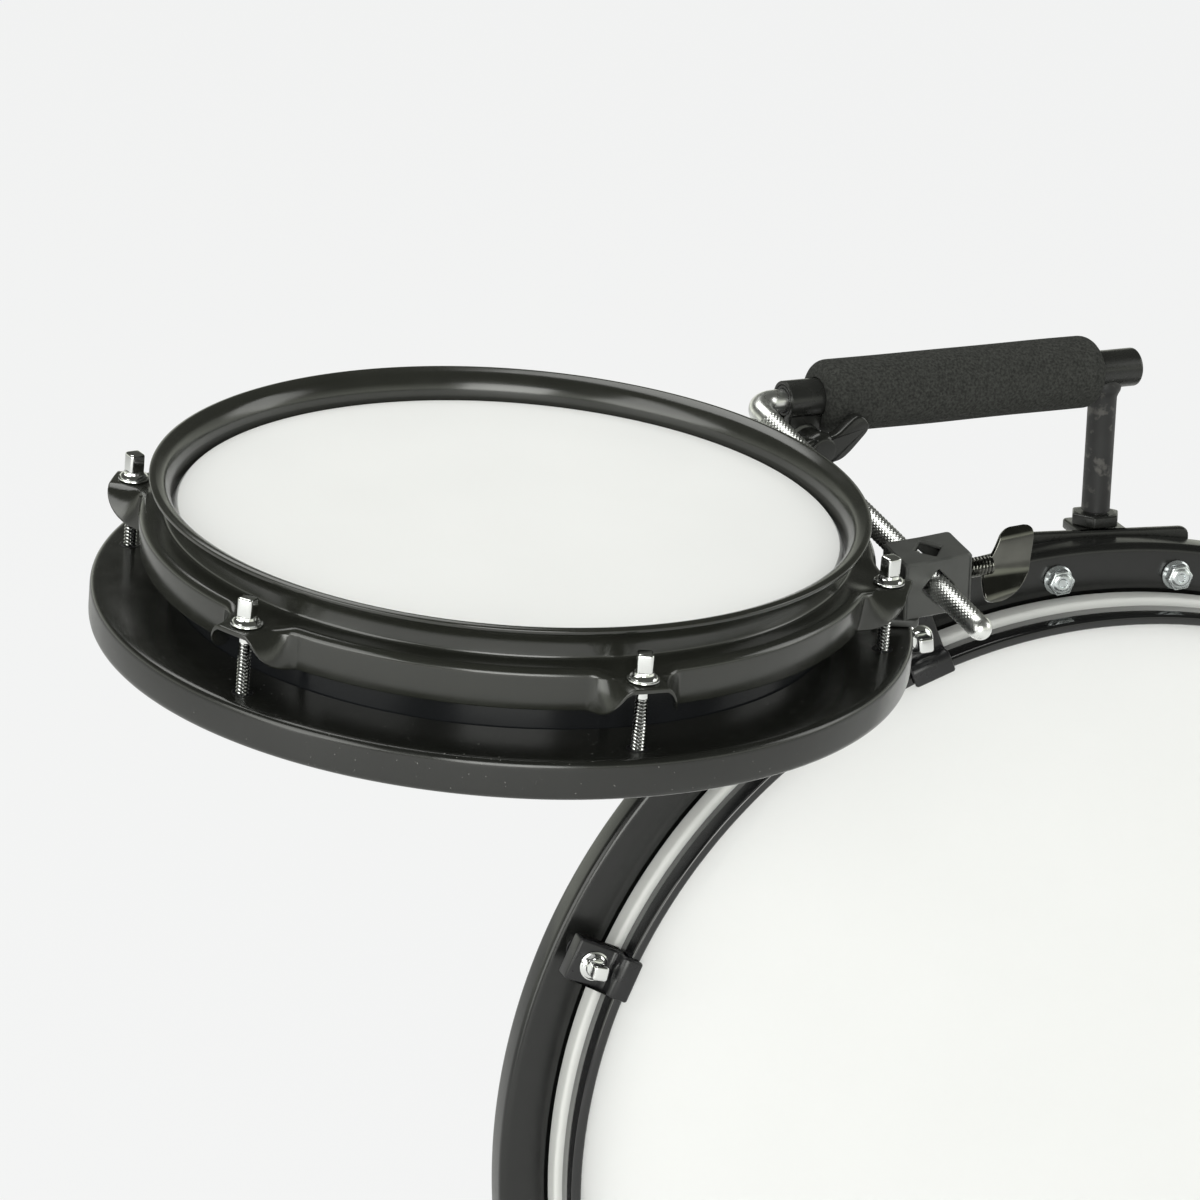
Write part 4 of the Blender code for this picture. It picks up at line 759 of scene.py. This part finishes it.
piece("snare_fixed_bar",
      [slab(softened([(-89, -13.3), (-99.5, -13.3), (-99.5, -36.5), (-SHELL_AT, -36.5), (-SHELL_AT, -52.0),
                      (-SHELL_AT + 2.5, -52.0), (-SHELL_AT + 2.5, -39.0), (-97.0, -39.0), (-97.0, -15.8),
                      (-89, -15.8)], 0.9, 3),
            -BAR_HALF, BAR_HALF, EDGE_ON, edge=0.6)],
      bar_steel, "small_drum", "snare_bar_fixed")
piece("snare_sliding_bar",
      [slab(softened([(89, -13.3), (99.5, -13.3), (99.5, -44.0), (104.0, -45.0), (104.0, -56.0),
                      (97.0, -56.0), (97.0, -15.8), (89, -15.8)],
                     0.9, 3), -BAR_HALF, BAR_HALF, EDGE_ON, edge=0.6)],
      bar_steel, "snare_bar", "snare_bar_sliding")
guide = rectangle(SHELL_AT - 9, -9, SHELL_AT, 9, 1.2, 3)
piece("snare_screw_guide", [slab(guide, -57.0, -40.0, SNARE, edge=0.8)],
      bar_steel, "small_drum", "snare_guide")
KNOB = axes(SNARE[0] + SNARE[1] @ np.array([0, 0, -51.0]), SNARE[1][:, 0], SNARE[1][:, 1])
KNOB_FROM, FLUTES, FLUTE_DEPTH = RING_OUT + 0.3, 18, 0.045
a = np.linspace(0, 2 * np.pi, 145)[None, :]
rows = np.array([(0.0, 3.0), (8.0, 3.2), (8.8, 4.0), (9.0, 6.0), (9.0, 12.5), (8.5, 13.8), (7.0, 14.4),
                 (0.0, 14.2)])
fluted = np.array([0, 1, 1, 1, 1, 1, 0, 0])[:, None]
knob_r = rows[:, :1] * (1 - FLUTE_DEPTH * np.clip(np.sin(FLUTES * a), 0, 1) * fluted)
piece("snare_strainer_knob",
      [shell_of(put(polar(knob_r, a, KNOB_FROM + rows[:, 1:]), KNOB)),
       turned([(0, 0), (5.6, 0), (6.0, 0.4), (6.0, 3.4), (0, 3.4)], moved(KNOB, [0, 0, KNOB_FROM]), 40),
       threaded(2.0, 94.0, KNOB_FROM + 0.5, KNOB, pitch=1.0)],
      moulded, "snare_knob", "snare_knob")

# ---- legs ----------------------------------------------------------------------------
# Each leg is a chrome rod in a cast socket behind the ring, clamped by a two-winged screw,
# and ends in a ribbed rubber foot.
foot_rubber = finish("foot_rubber", (0.018, 0.018, 0.018), 0.7, spec=0.3, patches=120.0, relief=0.5,
                     depth=0.06)
leg_chrome = finish("leg_chrome", (0.7, 0.71, 0.715), 0.12, metal=1.0, mottle=0.05, patches=90.0, relief=0.05,
                    depth=0.02)
SEAT_R, LEG_R = 262.0, 4.75
for tag, side in (("left", -1), ("right", 1)):
    bearing = math.radians(220.0 if side < 0 else -40.0)
    out = BASS[1] @ polar(1, bearing, 0)
    seat = BASS[0] + out * SEAT_R + np.array([0, 36.0, 0])
    foot = np.array([side * 285.0, 70.0, 9.0])
    reach = np.linalg.norm(foot - seat)
    rear = np.array([0.0, 1.0, 0.0])
    socket = seat, np.column_stack([out, rear, np.cross(out, rear)])
    leg = axes(seat, foot - seat, rear)
    near = 229.1 - SEAT_R
    cast = softened([(near, -13.5), (near + 5, -13.5), (near + 9, -10.5), (10.5, -10.5), (13.5, -7.5),
                     (13.5, 8), (10.5, 11), (near + 9, 11), (near + 5, 16), (near, 16)],
                    [0.5, 1, 3, 2, 2, 2, 2, 3, 1, 0.5], 4)
    piece(f"leg_socket_cast_{tag}",
          [slab(cast, -11.5, 11.5, socket, edge=1.8),
           turned(rectangle(5.1, 8.0, 8.0, 14.0, 0.8, 3), leg, 40),
           turned(rectangle(3.1, 8.0, 6.5, 11.8, 0.8, 3), axes(seat, rear, out), 40)],
          steel_coat, "bass_drum", f"leg_socket_{tag}")
    piece(f"leg_rod_{tag}",
          [turned(rectangle(0, -22, LEG_R, reach - 1, [0, 0.9, 0.9, 0], 4), leg, 48)],
          leg_chrome, f"leg_{tag}", f"leg_{tag}")
    ribs = [(13.0 + 0.9 * (i % 2), 0.6 + i * 1.35) for i in range(9)]
    profile = [(0, 0)] + ribs + [(12.6, 14.0), (11.4, 17.2), (9.0, 20.0), (6.4, 21.3), (0, 21.5)]
    piece(f"leg_rubber_foot_{tag}", [turned(profile, ((foot[0], foot[1], 0), np.eye(3)), 64)],
          foot_rubber, f"leg_{tag}", f"leg_foot_{tag}", crease=50.0)
    screw = axes(seat, rear, out)
    tilt = math.radians(35 * side)
    swing = np.array([[math.cos(tilt), -math.sin(tilt), 0], [math.sin(tilt), math.cos(tilt), 0], [0, 0, 1.0]])
    blades = screw[0], screw[1] @ swing @ np.array([[1.0, 0, 0], [0, 0, -1], [0, 1, 0]])
    piece(f"leg_wing_screw_{tag}",
          [turned([(0, 12.9), (5.6, 12.9), (6.0, 13.4), (6.0, 18.6), (4.8, 20.8), (0, 21.2)], screw, 40),
           threaded(3.0, 6.3, 13.2, screw, pitch=1.0),
           slab(softened([(-17, 24), (-19.3, 21), (-12, 14.8), (12, 14.8), (19.3, 21), (17, 24), (8, 19.6),
                          (-8, 19.6)], [2, 2, 4, 4, 2, 2, 3, 3], 4), -2.2, 2.2, blades, edge=1.1)],
          moulded, f"leg_wing_{tag}", f"leg_wing_{tag}", crease=50.0)

# ---- floor plate ---------------------------------------------------------------------
# Bent steel plate under the ring: its front edge takes a pedal's clamp and its upright
# flange is bolted to the ring. Painted, and rubbed through in patches.
bent = softened([(-112.0, 0), (19.3, 0), (19.3, 42), (16.3, 42), (16.3, 3.0), (-112.0, 3.0)],
                [0.6, 3.5, 1.2, 1.2, 2.0, 0.8], 6)
PLATE_SIDE = np.zeros(3), np.column_stack([[0, 1.0, 0], [0, 0, 1.0], [1.0, 0, 0]])
piece("pedal_floor_plate", [slab(bent, -50.0, 50.0, PLATE_SIDE, edge=0.8)],
      rubbed, "bass_drum", "floor_plate")
for k, x in enumerate((-26.3, 26.3)):
    flanged_bolt(f"floor_plate_bolt_{k + 1}", x, -243.5, 21.0, f"plate_bolt_{k + 1}")

# ---- floor, backdrop and light -------------------------------------------------------
# A pale studio floor with broad lamps round it. Rays that reach the eye see a near-white
# room. A glossy surface sees it dark overhead, so that the lamps stand out there.
floor_mesh = bpy.data.meshes.new("studio_floor")
floor_mesh.from_pydata([(-30, -20, 0), (30, -20, 0), (30, 40, 0), (-30, 40, 0)], [], [(0, 1, 2, 3)])
floor = bpy.data.objects.new("studio_floor", floor_mesh)
scene.collection.objects.link(floor)
floor_paint = bpy.data.materials.new("studio_floor")
floor_paint.use_nodes = True
nodes, links = floor_paint.node_tree.nodes, floor_paint.node_tree.links
nodes["Principled BSDF"].inputs["Base Color"].default_value = (0.8, 0.8, 0.8, 1)
nodes["Principled BSDF"].inputs["Roughness"].default_value = 0.8
nodes["Principled BSDF"].inputs["Specular IOR Level"].default_value = 0.1
floor_glow = nodes.new("ShaderNodeEmission")
floor_glow.inputs["Color"].default_value = (0.915, 0.92, 0.918, 1)
floor_share = nodes.new("ShaderNodeMixShader")
floor_rays = nodes.new("ShaderNodeLightPath")
floor_seen = nodes.new("ShaderNodeMath")
floor_seen.operation = 'MULTIPLY'
floor_seen.inputs[1].default_value = 0.93
links.new(floor_rays.outputs["Is Camera Ray"], floor_seen.inputs[0])
links.new(floor_seen.outputs[0], floor_share.inputs[0])
links.new(nodes["Principled BSDF"].outputs[0], floor_share.inputs[1])
links.new(floor_glow.outputs[0], floor_share.inputs[2])
links.new(floor_share.outputs[0], nodes["Material Output"].inputs["Surface"])
floor_mesh.materials.append(floor_paint)

room = bpy.data.worlds.new("studio")
scene.world = room
room.use_nodes = True
nodes, links = room.node_tree.nodes, room.node_tree.links
nodes.clear()
rays = nodes.new("ShaderNodeLightPath")
seen = nodes.new("ShaderNodeMath")
seen.operation = 'MAXIMUM'
links.new(rays.outputs["Is Camera Ray"], seen.inputs[0])
links.new(rays.outputs["Is Transmission Ray"], seen.inputs[1])
lit, shown, dim = (nodes.new("ShaderNodeBackground") for _ in range(3))
indirect, chosen = nodes.new("ShaderNodeMixShader"), nodes.new("ShaderNodeMixShader")
dim.inputs["Color"].default_value = (0.97, 1.0, 0.88, 1)
aimed, split = nodes.new("ShaderNodeTexCoord"), nodes.new("ShaderNodeSeparateXYZ")
height = nodes.new("ShaderNodeMapRange")
for socket, value in zip(("From Min", "From Max", "To Min", "To Max"), (0.08, 0.38, 1.0, 0.07)):
    height.inputs[socket].default_value = value
links.new(aimed.outputs["Generated"], split.inputs["Vector"])
links.new(split.outputs["Z"], height.inputs["Value"])
links.new(height.outputs["Result"], dim.inputs["Strength"])
links.new(rays.outputs["Is Glossy Ray"], indirect.inputs[0])
links.new(lit.outputs[0], indirect.inputs[1])
links.new(dim.outputs[0], indirect.inputs[2])
LAMP_TINT = (0.99, 1.0, 0.965)
lit.inputs["Color"].default_value = (*LAMP_TINT, 1)
lit.inputs["Strength"].default_value = 0.55
shown.inputs["Color"].default_value = (0.9, 0.91, 0.905, 1)
shown.inputs["Strength"].default_value = 1.0
links.new(seen.outputs[0], chosen.inputs[0])
links.new(indirect.outputs[0], chosen.inputs[1])
links.new(shown.outputs[0], chosen.inputs[2])
out_node = nodes.new("ShaderNodeOutputWorld")
links.new(chosen.outputs[0], out_node.inputs["Surface"])


def soft_lamp(name, place, size, watts):
    """A square area lamp that faces the drums."""
    lamp = bpy.data.lights.new(name, 'AREA')
    lamp.size, lamp.energy, lamp.color = size, watts, LAMP_TINT
    made = bpy.data.objects.new(name, lamp)
    scene.collection.objects.link(made)
    towards = unit(np.array([-0.15, -0.05, 0.5]) - np.asarray(place))
    spot, turned_to = axes(place, -towards, [1, 0, 0.01])
    made.matrix_world = Matrix.Translation(spot) @ Matrix(turned_to.tolist()).to_4x4()


soft_lamp("ceiling_softbox", (-0.6, 0.9, 2.6), 1.5, 19.0)
soft_lamp("left_softbox", (-2.6, -1.1, 1.2), 1.8, 27.0)
soft_lamp("right_softbox", (2.4, -0.6, 1.6), 1.3, 12.0)
soft_lamp("front_softbox", (-1.0, -3.3, 1.2), 1.7, 46.0)
scene.view_settings.view_transform = 'Standard'
